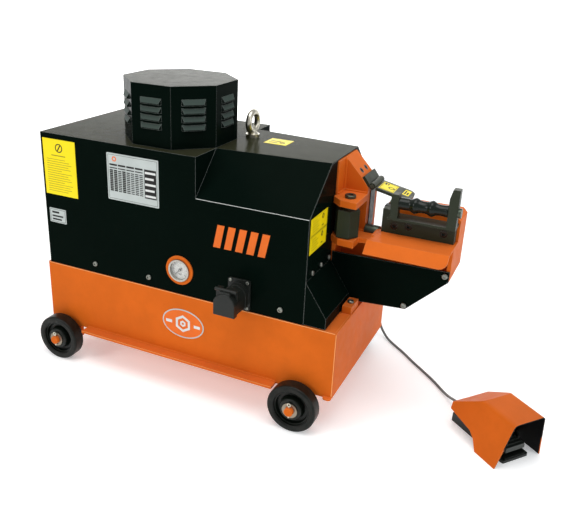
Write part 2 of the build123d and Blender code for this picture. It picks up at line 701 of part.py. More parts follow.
with BuildPart() as head_frame:
    # the thick C-shaped jaw plate
    extrude(outline(facing_front(plate_back), [
        (722 + mount_plate, nose_shoulder[1]), nose_shoulder, nose_crease, nose_lip, (throat[0], 618),
        (throat[0], throat_floor), (throat[1], throat_floor), (throat[1], jaw_top), (head_end - 12, jaw_top),
        (head_end, jaw_top - 12), *chute, (722 + mount_plate, 316)]), amount=plate_back - plate_front)
    # nose body in front of the plate: a box, open at the front behind its cover
    box_outline = [(hood_length, 499), (945, 499), (945, 513), (head_end, 513), *chute, (hood_length, 316)]
    extrude(outline(facing_front(plate_front), box_outline), amount=plate_front - nose_front)
    extrude(outline(facing_front(plate_front), [
        (hood_length + nose_wall, 476), (955, 489), (955, 499), (head_end - nose_wall, 499),
        (head_end - nose_wall, 430), (1054, 334), (936, 326), (hood_length + nose_wall, 326)]),
            amount=plate_front - nose_front, mode=Mode.SUBTRACT)
    # lugs that carry the adjustable stop
    for height in (stop_gap[0] - lug_thickness, stop_gap[1]):
        extrude(outline(level(height), lug_outline), amount=lug_thickness)
    extrude(disc(level(470), stop_station, stop_bolt_radius), amount=160, mode=Mode.SUBTRACT)
    # gusset between the upper lug and the plate
    extrude(block(facing_end(gusset[0][0]), gusset[0][1:], gusset[1][1:]),
            amount=gusset[1][0] - gusset[0][0])
    # plate that carries the cylinder, with feet on the tank's lid
    extrude(block(facing_end(722), (184, 446), (384, 666)), amount=mount_plate)
    extrude(block(facing_end(722), (plate_front, tank_top), (plate_back, 698)), amount=mount_plate)
    extrude(block(level(tank_top), (722, plate_front), (828, plate_back)), amount=20)
    # bore for the rod, then the slot that guides the blade carrier
    extrude(ram_disc(700, rod_radius + 1), amount=142, mode=Mode.SUBTRACT)
    extrude(block(facing_end(780), (blade_sides[0] - slide_gap, 501 - slide_gap),
                  (blade_sides[1] + slide_gap, 611 + slide_gap)), amount=129, mode=Mode.SUBTRACT)
    # seat of the fixed blade
    extrude(block(level(fixed_blade_heights[0]), (throat[1], plate_front),
                  (pocket_along[1], blade_sides[0] - slide_gap)), amount=100, mode=Mode.SUBTRACT)
    # seat of the bar rest in the throat's floor
    extrude(disc(facing_end(throat[0]), rest_centre, rest_radius), amount=rest_length, mode=Mode.SUBTRACT)
    # tapped holes for the jaw plate's screws and for the two screws on the nose
    for place in jaw_screw_places:
        extrude(disc(facing_front(plate_front + 24), place, screw_radius), amount=24, mode=Mode.SUBTRACT)
    for across in nose_screw_rows:
        extrude(disc(nose_plane(across), (0, 0), 8.5), amount=-nose_screw_head, mode=Mode.SUBTRACT)
        extrude(disc(nose_plane(across), (0, 0), 5), amount=-nose_screw_head - 18, mode=Mode.SUBTRACT)
save(head_frame.part, "head_frame")

with BuildPart() as fixed_blade:
    extrude(block(level(fixed_blade_heights[0]), (pocket_along[0], plate_front),
                  (pocket_along[1], blade_sides[0] - slide_gap)),
            amount=fixed_blade_heights[1] - fixed_blade_heights[0])
    chamfer(fixed_blade.edges().filter_by(Axis.Y).group_by(Axis.X)[0], length=2)
save(fixed_blade.part, "fixed_blade")

with BuildPart() as bar_rest:
    extrude(disc(facing_end(throat[0]), rest_centre, rest_radius), amount=rest_length)
    chamfer(bar_rest.edges().filter_by(GeomType.CIRCLE), length=1.5)
save(bar_rest.part, "bar_rest")

jaw_plate_front = 214
bracket_seat = 986
crossbar = (562, 568)
head_radius = 10
with BuildPart() as jaw_plate:
    extrude(outline(facing_front(plate_front), [
        (962, 517), (1155, 517), (1155, crossbar[0]), (bracket_seat, crossbar[0]), (bracket_seat, 582),
        (962, 582)]), amount=plate_front - jaw_plate_front)
    with Locations(*[Location(facing_front(jaw_plate_front).from_local_coords((*place, 0)), (90, 0, 0))
                     for place in jaw_screw_places]):
        CounterBoreHole(screw_radius, head_radius + 0.5, 12, depth=60)
save(jaw_plate.part, "jaw_plate")


def socket_screw(seat, centre, radius, head, head_height, shank):
    """Socket-head screw whose head stands on a plane; its shank goes the other way."""
    with BuildPart() as screw:
        extrude(disc(seat, centre, head), amount=head_height)
        extrude(disc(seat, centre, radius), amount=-shank)
        extrude(hexagon(seat.offset(head_height * 0.5), centre, head * 0.95), amount=head_height,
                mode=Mode.SUBTRACT)
    return screw.part


jaw_screws = [socket_screw(facing_front(jaw_plate_front + 12), place, screw_radius, head_radius, 11.5, 36)
              for place in jaw_screw_places]
nose_screws = [socket_screw(nose_plane(across).offset(-nose_screw_head), (0, 0), 5, 8, nose_screw_head, 18)
               for across in nose_screw_rows]
save(Compound(children=jaw_screws + nose_screws), "socket_screws")

# ---- adjustable stop -----------------------------------------------------------------------------
eccentric = 4
with BuildPart() as hex_stop:
    centre = (stop_station[0] - eccentric, stop_station[1])
    extrude(hexagon(level(stop_gap[0] + 0.5), centre, stop_flats), amount=stop_top - stop_gap[0] - 0.5)
    chamfer(hex_stop.edges().group_by(Axis.Z)[-1], length=2)
    chamfer(hex_stop.edges().group_by(Axis.Z)[0], length=2)
    extrude(disc(level(stop_top), stop_station, 20), amount=stop_gap[1] - 0.5 - stop_top)
    extrude(disc(level(450), stop_station, stop_bolt_radius + running_gap), amount=200, mode=Mode.SUBTRACT)
save(hex_stop.part, "hex_stop")

with BuildPart() as stop_bolt:
    extrude(disc(level(stop_gap[0] - lug_thickness), stop_station, stop_bolt_radius),
            amount=stop_gap[1] - stop_gap[0] + 2 * lug_thickness)
    extrude(disc(level(stop_gap[1] + lug_thickness), stop_station, 15), amount=9)
    chamfer(stop_bolt.edges().group_by(Axis.Z)[-1], length=1.5)
    extrude(hexagon(level(stop_gap[1] + lug_thickness + 3), stop_station, 14), amount=10,
            mode=Mode.SUBTRACT)
save(stop_bolt.part, "hex_stop_bolt")

# ---- throat guard --------------------------------------------------------------------------------
guard_hinge = (917.5, 626.5)
guard_pin_radius = 5
knuckle_radius = 9
guard_slope = -12
arm_start = 10
arm_reach = 105
arm_sides = (250, 330)
knuckle_split = (266, 304)
slope_length = sqrt((nose_lip[0] - nose_crease[0]) ** 2 + (nose_lip[1] - nose_crease[1]) ** 2)
lip_slope = Vector(nose_lip[0] - nose_crease[0], nose_lip[1] - nose_crease[1], 0) / slope_length
lip_normal = Vector(-lip_slope.Y, lip_slope.X, 0)

with BuildPart() as guard_bracket:
    inner_top = Vector(*nose_crease, 0) + lip_slope * 1
    inner_low = Vector(*nose_lip, 0)
    outer_top = inner_top + lip_normal * 8
    outer_low = inner_low + lip_normal * 8
    corners = [(v.X, v.Y) for v in (inner_top, inner_low, outer_low, outer_top)]
    extrude(outline(facing_front(plate_back + 3), corners), amount=plate_back + 3 - plate_front - 3)
    for low, high in ((plate_front + 5, knuckle_split[0] - 0.3), (knuckle_split[1] + 0.3, plate_back)):
        extrude(disc(facing_front(high), guard_hinge, knuckle_radius), amount=high - low)
    extrude(disc(facing_front(knuckle_split[1] + 0.3), guard_hinge, knuckle_radius + 0.6),
            amount=knuckle_split[1] - knuckle_split[0] + 0.6, mode=Mode.SUBTRACT)
    extrude(disc(facing_front(plate_back + 10), guard_hinge, guard_pin_radius), amount=120,
            mode=Mode.SUBTRACT)
save(guard_bracket.part, "guard_bracket")

with BuildPart() as guard_arm:
    arm_origin = point(guard_hinge[0], 0, guard_hinge[1])
    along_arm = Vector(cos(radians(guard_slope)), 0, sin(radians(guard_slope)))
    arm_up = Vector(-along_arm.Z, 0, along_arm.X)
    arm_plane = Plane(origin=arm_origin - arm_up * 9, x_dir=along_arm, z_dir=arm_up)
    with BuildSketch(arm_plane) as arm_shape:
        with Locations(((arm_start + arm_reach) / 2, sum(arm_sides) / 2)):
            Rectangle(arm_reach - arm_start, arm_sides[1] - arm_sides[0])
        fillet(arm_shape.vertices().group_by(Axis.X)[-1], radius=22)
        with Locations((8, sum(knuckle_split) / 2)):
            Rectangle(16, knuckle_split[1] - knuckle_split[0])
    extrude(amount=8)
    extrude(disc(facing_front(knuckle_split[1]), guard_hinge, knuckle_radius),
            amount=knuckle_split[1] - knuckle_split[0])
    extrude(disc(facing_front(400), guard_hinge, guard_pin_radius + running_gap), amount=300,
            mode=Mode.SUBTRACT)
save(guard_arm.part, "guard_arm")

# ---- bar roller ----------------------------------------------------------------------------------
bracket_back = jaw_plate_front
bracket_front = 190
left_upright = (987, 1007)
right_upright = (1134, 1158)
roller_height = 608
roller_across = (bracket_front + bracket_back) / 2
roller_axle_radius = 6

with BuildPart() as roller_bracket:
    # flat foot on the jaw plate's lower shelf
    extrude(outline(level(crossbar[0]), [
        (left_upright[0] - 7, bracket_front), (right_upright[1], bracket_front),
        (right_upright[1], plate_front), (bracket_seat, plate_front), (bracket_seat, bracket_back),
        (left_upright[0] - 7, bracket_back)]), amount=crossbar[1] - crossbar[0])
    # two uprights that carry the roller's axle
    extrude(outline(facing_front(bracket_back), [
        (left_upright[0] - 5, crossbar[1]), (left_upright[1], crossbar[1]), (left_upright[1], 633),
        (left_upright[0] + 3, 633), (left_upright[0], 630), (left_upright[0], crossbar[1] + 6)]),
            amount=bracket_back - bracket_front)
    extrude(outline(facing_front(bracket_back), [
        (right_upright[0], crossbar[1]), (right_upright[1], crossbar[1]), (right_upright[1], 669),
        (right_upright[0] + 6, 669), (right_upright[0], 644)]), amount=bracket_back - bracket_front)
    extrude(disc(facing_end(980), (roller_across, roller_height), roller_axle_radius), amount=200,
            mode=Mode.SUBTRACT)
save(roller_bracket.part, "roller_bracket")

with BuildPart() as bar_roller:
    roller_low = left_upright[1] + 1
    roller_high = right_upright[0] - 1
    roller_plane = Plane(origin=point(0, roller_across, roller_height), x_dir=(1, 0, 0), z_dir=(0, -1, 0))
    with BuildSketch(roller_plane):
        with BuildLine():
            Spline((1030, 16), (1040, 17.5), (1049, 21), (1058, 17.5), (1071, 15.5), (1083, 17.5),
                   (1092, 21), (1101, 17), (1118, 14.5), (roller_high - 4, 15.5))
            Polyline((roller_high - 4, 15.5), (roller_high, 15.5),
                     (roller_high, roller_axle_radius + running_gap),
                     (roller_low, roller_axle_radius + running_gap), (roller_low, 16), (1030, 16))
        make_face()
    revolve(axis=Axis(point(0, roller_across, roller_height), (1, 0, 0)))
save(bar_roller.part, "bar_roller")

# ---- shelf and cover of the nose -----------------------------------------------------------------
shelf_top = 517
shelf_start = 948
shelf_slant = 966
shelf_bend = 133
shelf_lip = (105, 489)

with BuildPart() as bar_shelf:
    extrude(outline(facing_end(shelf_start), [
        (jaw_plate_front, shelf_top), (shelf_bend, shelf_top), (shelf_lip[0], shelf_lip[1]),
        (shelf_lip[0] + 2.8, shelf_lip[1] - 2.8), (shelf_bend + 1.7, shelf_top - 4),
        (jaw_plate_front, shelf_top - 4)]), amount=head_end - shelf_start)
    # slanted end beside the throat
    extrude(outline(level(shelf_lip[1] - 10), [
        (shelf_start - 1, shelf_bend), (shelf_start, shelf_bend), (shelf_slant, jaw_plate_front),
        (shelf_start - 1, jaw_plate_front)]), amount=60, mode=Mode.SUBTRACT)
    # the strip that the jaw plate stands on
    extrude(block(level(shelf_top - 4), (shelf_slant, jaw_plate_front), (head_end, plate_front)), amount=4)
    # rounded outer corner of the lip
    lip_corner = bar_shelf.edges().filter_by(lambda edge: edge.length < 4.5).sort_by(Axis.Z)
    fillet(lip_corner.group_by(Axis.Z)[0].sort_by(Axis.X)[-1], radius=22)
save(bar_shelf.part, "bar_shelf")

cover_thickness = 4
with BuildPart() as side_cover:
    extrude(outline(facing_front(nose_front), [
        (841, 446), (head_end - 1, 453), (head_end - 1, 424), (1058, 322), (936, 314), (866, 312),
        (841, 330)]), amount=cover_thickness)
save(side_cover.part, "side_cover")


# ---- bolts, labels and plates --------------------------------------------------------------------
def domed_bolt(seat, centre, radius, height):
    with BuildPart() as bolt:
        extrude(disc(seat, centre, radius), amount=height)
        fillet(bolt.faces().sort_by(Axis(seat.origin, seat.z_dir))[-1].edges(), radius=height * 0.6)
        extrude(hexagon(seat.offset(height * 0.5), centre, radius * 0.9), amount=height, mode=Mode.SUBTRACT)
    return bolt.part


hood_bolt_row = (171, 359, 770)
rear_wall = Plane(origin=point(0, hood_back, 0), x_dir=(-1, 0, 0), z_dir=(0, 1, 0))
bolts = [domed_bolt(facing_front(hood_inset), (along, 328), 8, 5) for along in hood_bolt_row]
bolts += [domed_bolt(rear_wall, (-along, 328), 8, 5) for along in hood_bolt_row]
bolts += [domed_bolt(facing_end(hood_length), (across, 433), 7, 5) for across in (44, 106, 166)]
bolts += [domed_bolt(facing_front(nose_front - cover_thickness), place, 8, 5)
          for place in ((1150, 440), (1053, 332))]
bolts += [domed_bolt(level(tank_top + 22), (915, 150), 9, 7)]
inlet_face = facing_front(hood_inset - 6)
bolts += [domed_bolt(inlet_face, (inlet_centre[0] + side * 25, inlet_centre[1] + lift), 5, 3)
          for side in (-1, 1) for lift in (-36, 38)]
save(Compound(children=bolts), "cover_bolts")

label_thickness = 0.6
with BuildPart() as warning_labels:
    extrude(block(facing_front(hood_inset), (7, 521), (122, 687)), amount=label_thickness)
    extrude(block(facing_end(hood_length), (14, 492), (130, 588)), amount=label_thickness)
    extrude(block(level(hood_top), (594, 240), (662, 300)), amount=label_thickness)
save(warning_labels.part, "warning_labels")

with BuildPart() as rating_plates:
    extrude(block(facing_front(hood_inset), (231, 542), (399, 676), 3), amount=1)
    extrude(block(facing_front(hood_inset), (13, 433), (73, 477), 2), amount=1)
    with BuildSketch(facing_front(0)):
        with Locations((473, 209)):
            Ellipse(68, 45)
    extrude(amount=1)
save(rating_plates.part, "rating_plates")

# ---- foot pedal ----------------------------------------------------------------------------------
pedal_floor = 8
pedal_wall = 6
pedal_wall_height = 26
pedal_pivot = (74, 19)
pedal_pin_radius = 4
treadle_sides = (12, 75)

with BuildPart() as pedal_base:
    extrude(block(pedal_level(0), (0, 0), (pedal_length - 3, pedal_width), 6), amount=pedal_floor)
    # side walls, and the switch housing at the back
    for wall in (pedal_wall, pedal_width):
        extrude(outline(pedal_side(wall), [
            (4, pedal_floor), (168, pedal_floor), (168, 38), (160, 46), (62, 46), (50, pedal_wall_height),
            (4, pedal_wall_height)]), amount=pedal_wall)
    extrude(block(pedal_level(pedal_floor), (2, 6), (58, pedal_width - 6)), amount=36)
    # raised rim at the front of the tongue
    extrude(block(pedal_level(pedal_floor), (pedal_length - 14, 10), (pedal_length - 6, pedal_width - 10)),
            amount=3)
    extrude(disc(pedal_side(pedal_width + 10), pedal_pivot, pedal_pin_radius), amount=120,
            mode=Mode.SUBTRACT)
save(pedal_base.part, "pedal_base")

with BuildPart() as pedal_treadle:
    low, high = treadle_sides
    extrude(block(pedal_level(32), (64, low), (198, high), 4), amount=7)
    # grip ribs across the treadle
    for rib in range(9):
        start = 96 + 11 * rib
        extrude(block(pedal_level(39), (start, low + 3), (start + 5, high - 3)), amount=2.5)
    # front lip and the knuckle round the pin
    extrude(block(pedal_level(25), (191, low), (198, high)), amount=10)
    with BuildSketch(pedal_side(high)):
        with Locations(pedal_pivot):
            Circle(8)
        with Locations((pedal_pivot[0], 29)):
            Rectangle(12, 10)
    extrude(amount=high - low)
    extrude(disc(pedal_side(200), pedal_pivot, pedal_pin_radius + running_gap), amount=300,
            mode=Mode.SUBTRACT)
save(pedal_treadle.part, "pedal_treadle")

spring_turns = 5
spring_radius = 8
spring_wire = 1.1
spring_foot = pedal_floor + spring_wire
spring_height = 32 - pedal_floor - 2 * spring_wire
spring_centre = pedal_level(spring_foot).from_local_coords((150, pedal_width / 2))
helix = Helix(pitch=spring_height / spring_turns, height=spring_height, radius=spring_radius,
              center=spring_centre)
with BuildPart() as pedal_spring:
    with BuildSketch(Plane(origin=helix @ 0, z_dir=helix % 0)):
        Circle(spring_wire)
    sweep(path=helix)
save(pedal_spring.part, "pedal_spring")

guard_back = 17
guard_crest = 113
guard_brow = 228
guard_rear_foot = 55
guard_rear_top = 76
guard_bend = 12
middle = pedal_width / 2


def guard_section(inset):
    """Cross-section of the guard, pulled in by the sheet for its inside."""
    top = guard_top_half - inset
    foot = guard_foot_half - inset
    with BuildSketch(pedal_section(-20)) as shape:
        with BuildLine():
            Polyline((middle - foot, -inset), (middle - top, guard_height - inset),
                     (middle + top, guard_height - inset), (middle + foot, -inset), close=True)
        make_face()
        fillet(shape.vertices().sort_by(Axis.Y)[-2:], radius=guard_bend - inset)
    return shape.sketch


with BuildPart() as guard_core:
    extrude(outline(pedal_side(-200), [
        (guard_back + 3, -5), (guard_back + 3, guard_rear_top - 4), (guard_crest + 1, guard_height - 3),
        (guard_brow + 40, guard_height - 3), (guard_brow + 40, -5)]), amount=-500)
    extrude(guard_section(3), amount=400, mode=Mode.INTERSECT)

with BuildPart() as pedal_guard:
    extrude(outline(pedal_side(-200), [
        (guard_back, guard_rear_foot), (guard_back, guard_rear_top), (guard_crest, guard_height),
        (guard_brow, guard_height), (guard_nose, 0), (138, 0), (119, 28), (101, 41)]), amount=-500)
    extrude(guard_section(0), amount=400, mode=Mode.INTERSECT)
    add(guard_core.part, mode=Mode.SUBTRACT)
    # brackets to the base's side walls and to the switch housing
    for side in (-1, 1):
        wall = middle + side * pedal_width / 2
        shell = middle + side * (guard_foot_half - 6)
        low, high = sorted((wall, shell))
        extrude(block(pedal_level(20), (124, low), (134, high)), amount=5)
        extrude(outline(pedal_section(46), [
            (middle + side * offset, height)
            for offset, height in ((37.5, 36), (37.5, 44), (62.5, 60), (64.8, 60), (65.4, 54), (49.5, 36))]),
                amount=4)
save(pedal_guard.part, "pedal_guard")

# ---- pivot pins ----------------------------------------------------------------------------------
with BuildPart() as pivot_pins:
    extrude(disc(facing_front(plate_back + 2), guard_hinge, guard_pin_radius),
            amount=plate_back + 2 - plate_front - 3)
    extrude(disc(facing_end(inlet_centre[0] - 31), inlet_hinge, hinge_pin_radius), amount=62)
    extrude(disc(pedal_side(pedal_width), pedal_pivot, pedal_pin_radius), amount=pedal_width)
    extrude(disc(facing_end(left_upright[0] - 4), (roller_across, roller_height), roller_axle_radius),
            amount=right_upright[1] + 8 - left_upright[0] + 4)
    extrude(ring(facing_end(right_upright[1]), (roller_across, roller_height), 13, roller_axle_radius),
            amount=8)
save(pivot_pins.part, "pivot_pins")

# ---- pedal cable ---------------------------------------------------------------------------------
gland_length = 22
cable_radius = cable_diameter / 2
floor_line = cable_radius + 0.2
machine_exit = (880, body_width, 190)
pedal_gland_height = 25
pedal_entry = pedal_level(pedal_gland_height).from_local_coords((2, middle))

cable_route = [
    (880, 482, 190), (880, 512, 190), (882, 545, 176), (886, 568, 142), (890, 580, 100), (893, 584, 50),
    (907, 579.5, 24), (932, 561, 6), (962, 534, floor_line + 0.4), (1000, 503, floor_line),
    (1046, 456, floor_line + 0.5), (1090, 417, floor_line), (1130, 379, floor_line + 0.5),
    (1162, 343, floor_line + 0.2), (1184, 314, 9), (1202, 291, 17)]
cable_points = [point(*place) for place in cable_route] + [
    pedal_level(pedal_gland_height).from_local_coords((-reach, middle))
    for reach in (gland_length + 20, gland_length - 2)]

with BuildPart() as cable_glands:
    outer = Plane(origin=point(*machine_exit), x_dir=(1, 0, 0), z_dir=(0, 1, 0))
    rear = Plane(origin=pedal_entry, x_dir=pedal_sideways, z_dir=-pedal_forward)
    for seat in (outer, rear):
        extrude(hexagon(seat, (0, 0), 20), amount=7)
        extrude(disc(seat.offset(7), (0, 0), 9), amount=gland_length - 7, taper=10)
save(cable_glands.part, "cable_glands")


pedal_cable, cable_length, cable_radii = tube(cable_points, cable_radius)
save(pedal_cable, "pedal_cable")
print("cable length", round(cable_length, 1), "radii", [round(radius, 1) for radius in cable_radii])
print("cable volume over section times length",
      round(pedal_cable.volume / (pi * cable_radius ** 2 * cable_length), 4))
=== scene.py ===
"""Looks of the rebar cutter: camera, stage, cable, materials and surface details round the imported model."""
import json
from math import cos, pi, radians, sin

import bmesh
import bpy
from mathutils import Matrix, Vector, noise


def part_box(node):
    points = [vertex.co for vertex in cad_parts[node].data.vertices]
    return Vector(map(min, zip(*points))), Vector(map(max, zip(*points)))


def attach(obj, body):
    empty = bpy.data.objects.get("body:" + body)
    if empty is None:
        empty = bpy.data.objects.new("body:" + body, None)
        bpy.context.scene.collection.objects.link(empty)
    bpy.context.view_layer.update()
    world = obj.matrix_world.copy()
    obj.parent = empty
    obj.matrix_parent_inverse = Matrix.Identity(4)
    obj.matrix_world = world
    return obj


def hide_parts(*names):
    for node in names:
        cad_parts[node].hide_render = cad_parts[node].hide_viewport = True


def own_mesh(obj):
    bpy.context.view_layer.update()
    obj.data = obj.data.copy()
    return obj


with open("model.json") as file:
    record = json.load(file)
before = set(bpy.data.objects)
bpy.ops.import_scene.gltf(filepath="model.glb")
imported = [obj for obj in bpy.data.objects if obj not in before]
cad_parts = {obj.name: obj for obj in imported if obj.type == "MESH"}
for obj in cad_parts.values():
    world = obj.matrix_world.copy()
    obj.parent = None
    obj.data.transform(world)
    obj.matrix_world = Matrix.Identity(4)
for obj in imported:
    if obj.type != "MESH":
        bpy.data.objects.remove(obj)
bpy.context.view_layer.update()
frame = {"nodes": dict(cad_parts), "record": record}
nodes = frame["nodes"]
MM = 0.001

# ---- places, in millimetres along, across and above the floor -------------------------------------
HOOD_FRONT = 3
HOOD_BOTTOM = 299
HOOD_STEP = 513
HOOD_FOLD = 591
HOOD_END = 837
HOOD_TOP = 703
TANK_ENDS = (-8, 931)
FLANGE_TOP = 108
FLANGE_ENDS = (130, 769)
FLANGE_WIDTH = 33
BODY_WIDTH = 460
LUG_ENDS = (838, 910)
PLATE_FRONT = 240
PEDAL_CORNER = (1218, 214)
PEDAL_HEADING = radians(-39.4)
PEDAL_MIDDLE = 43.5
PEDAL_FLOOR = 8
CORD_DIAMETER = 8
CORD_LEVEL = 25
GLAND = (880, 460, 190)
ALONG = Vector((1, 0, 0))
ACROSS = Vector((0, 1, 0))
UP = Vector((0, 0, 1))

hood_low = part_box("hood_shell")[0]
machine_origin = Vector(hood_low) - Vector((0, HOOD_FRONT, HOOD_BOTTOM)) * MM


def at(along, across, height):
    """A machine position in millimetres, as a point of the row frame in metres."""
    return machine_origin + Vector((along, across, height)) * MM


pedal_forward = Vector((cos(PEDAL_HEADING), sin(PEDAL_HEADING), 0))
pedal_sideways = Vector((-pedal_forward.y, pedal_forward.x, 0))


def on_pedal(forward, sideways, height):
    """A position on the foot pedal, in millimetres from its rear corner."""
    return at(*PEDAL_CORNER, height) + (pedal_forward * forward + pedal_sideways * sideways) * MM


# ---- camera ---------------------------------------------------------------------------------------
CAMERA_PLACE = (1411, -1509, 1181)
CAMERA_TURN = radians(24.47)
CAMERA_TILT = radians(22.1)
CAMERA_ROLL = radians(2.23)
CAMERA_LENS = 44.22
CAMERA_SHIFT = (0.0326, -0.0193)


def linked(name, data):
    """A new object of the scene."""
    thing = bpy.data.objects.new(name, data)
    bpy.context.scene.collection.objects.link(thing)
    return thing


def make_camera():
    """The photograph's point of view."""
    data = bpy.data.cameras.new("camera")
    camera = linked("camera", data)
    back = Vector((sin(CAMERA_TURN) * cos(CAMERA_TILT), -cos(CAMERA_TURN) * cos(CAMERA_TILT),
                   sin(CAMERA_TILT)))
    level_right = Vector((cos(CAMERA_TURN), sin(CAMERA_TURN), 0))
    level_up = back.cross(level_right)
    right = level_right * cos(CAMERA_ROLL) + level_up * sin(CAMERA_ROLL)
    up = level_up * cos(CAMERA_ROLL) - level_right * sin(CAMERA_ROLL)
    turned = Matrix((right, up, back)).transposed().to_4x4()
    camera.matrix_world = Matrix.Translation(at(*CAMERA_PLACE)) @ turned
    data.sensor_width = 36
    data.lens = CAMERA_LENS
    data.shift_x, data.shift_y = CAMERA_SHIFT
    data.clip_end = 60
    bpy.context.scene.camera = camera


# ---- mesh helpers ---------------------------------------------------------------------------------
def data_of(mesh, name):
    """Turns a finished bmesh into mesh data."""
    data = bpy.data.meshes.new(name)
    mesh.to_mesh(data)
    mesh.free()
    return data


def piece_from(name, body, mesh, material, smooth=False):
    """A piece that rides on a body, made from a finished bmesh."""
    piece = linked(name, data_of(mesh, name))
    piece.data.materials.append(material)
    if smooth:
        for face in piece.data.polygons:
            face.use_smooth = True
    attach(piece, body)
    return piece


def prisms(name, body, material, origin, u, v, shapes, thickness):
    """Thin raised shapes on a plane: each shape is a list of (u, v) corners in millimetres."""
    mesh = bmesh.new()
    normal = u.cross(v)
    for shape in shapes:
        low = [mesh.verts.new(origin + (u * a + v * b) * MM) for a, b in shape]
        high = [mesh.verts.new(vert.co + normal * thickness * MM) for vert in low]
        mesh.faces.new(high)
        mesh.faces.new(low[::-1])
        for here in range(len(low)):
            after = (here + 1) % len(low)
            mesh.faces.new((low[here], low[after], high[after], high[here]))
    bmesh.ops.recalc_face_normals(mesh, faces=mesh.faces)
    return piece_from(name, body, mesh, material)


def bar(left, low, width, height):
    """The four corners of a rectangle."""
    return [(left, low), (left + width, low), (left + width, low + height), (left, low + height)]


def frame_bars(left, low, width, height, line):
    """Four bars that make a rectangular outline."""
    return [bar(left, low, width, line), bar(left, low + height - line, width, line),
            bar(left, low + line, line, height - 2 * line),
            bar(left + width - line, low + line, line, height - 2 * line)]


def ring(across, up, outer, inner, start=0, turn=360, steps=24):
    """Flat ring, or part of one, as a row of four-cornered pieces."""
    shapes = []
    for step in range(steps):
        first = radians(start + turn * step / steps)
        second = radians(start + turn * (step + 1) / steps)
        shapes.append([(across + radius * cos(angle), up + radius * sin(angle))
                       for radius, angle in ((outer, first), (outer, second),
                                             (inner, second), (inner, first))])
    return shapes


def slanted(left, low, width, height, lean):
    """A bar whose top leans to the right."""
    high = low + height
    return [(left, low), (left + width, low), (left + width + lean, high), (left + lean, high)]


def lines(left, low, widths, pitch, height):
    """Bars stacked upwards, like lines of small print."""
    return [bar(left, low + pitch * row, width, height) for row, width in enumerate(widths)]


def circle(mesh, centre, side, other, radius, corners):
    """A closed row of new corners round a centre; side and other span its plane."""
    row = []
    for step in range(corners):
        angle = 2 * pi * step / corners
        row.append(mesh.verts.new(centre + (side * cos(angle) + other * sin(angle)) * radius * MM))
    return row


def skin(mesh, rows):
    """Closed tube through rows of corners, with a flat cap at each end."""
    corners = len(rows[0])
    for first, second in zip(rows, rows[1:]):
        for step in range(corners):
            after = (step + 1) % corners
            mesh.faces.new((first[step], first[after], second[after], second[step]))
    mesh.faces.new(rows[0][::-1])
    mesh.faces.new(rows[-1])


def lathe(mesh, origin, axis, profile, segments=32):
    """Adds a closed turned shape to a mesh: the profile is (distance along the axis, radius)."""
    side = axis.orthogonal().normalized()
    other = axis.cross(side)
    skin(mesh, [circle(mesh, origin + axis * along * MM, side, other, radius, segments)
                for along, radius in profile])


def bead(mesh, start, end, radius, pitch=3.2, spacing=0.8, swell=0.16, taper=0.5, drift=0.5):
    """Adds a rippled weld bead between two points; it swells, drifts sideways and tapers at its ends."""
    axis = (end - start).normalized()
    length = (end - start).length / MM
    count = int(length / spacing)
    side = axis.orthogonal().normalized()
    other = axis.cross(side)
    rows = []
    for step in range(count + 1):
        along = length * step / count
        ripple = 1 + swell * abs(sin(pi * along / pitch)) - taper * (step in (0, count))
        wander = noise.noise(Vector((along * 0.09, start.x * 40, start.z * 40)))
        centre = start + axis * along * MM + other * wander * drift * MM
        rows.append(circle(mesh, centre, side, other, radius * ripple, 10))
    skin(mesh, rows)


# ---- material helpers -----------------------------------------------------------------------------
MIX_FIRST, MIX_SECOND, MIX_RESULT = 6, 7, 2


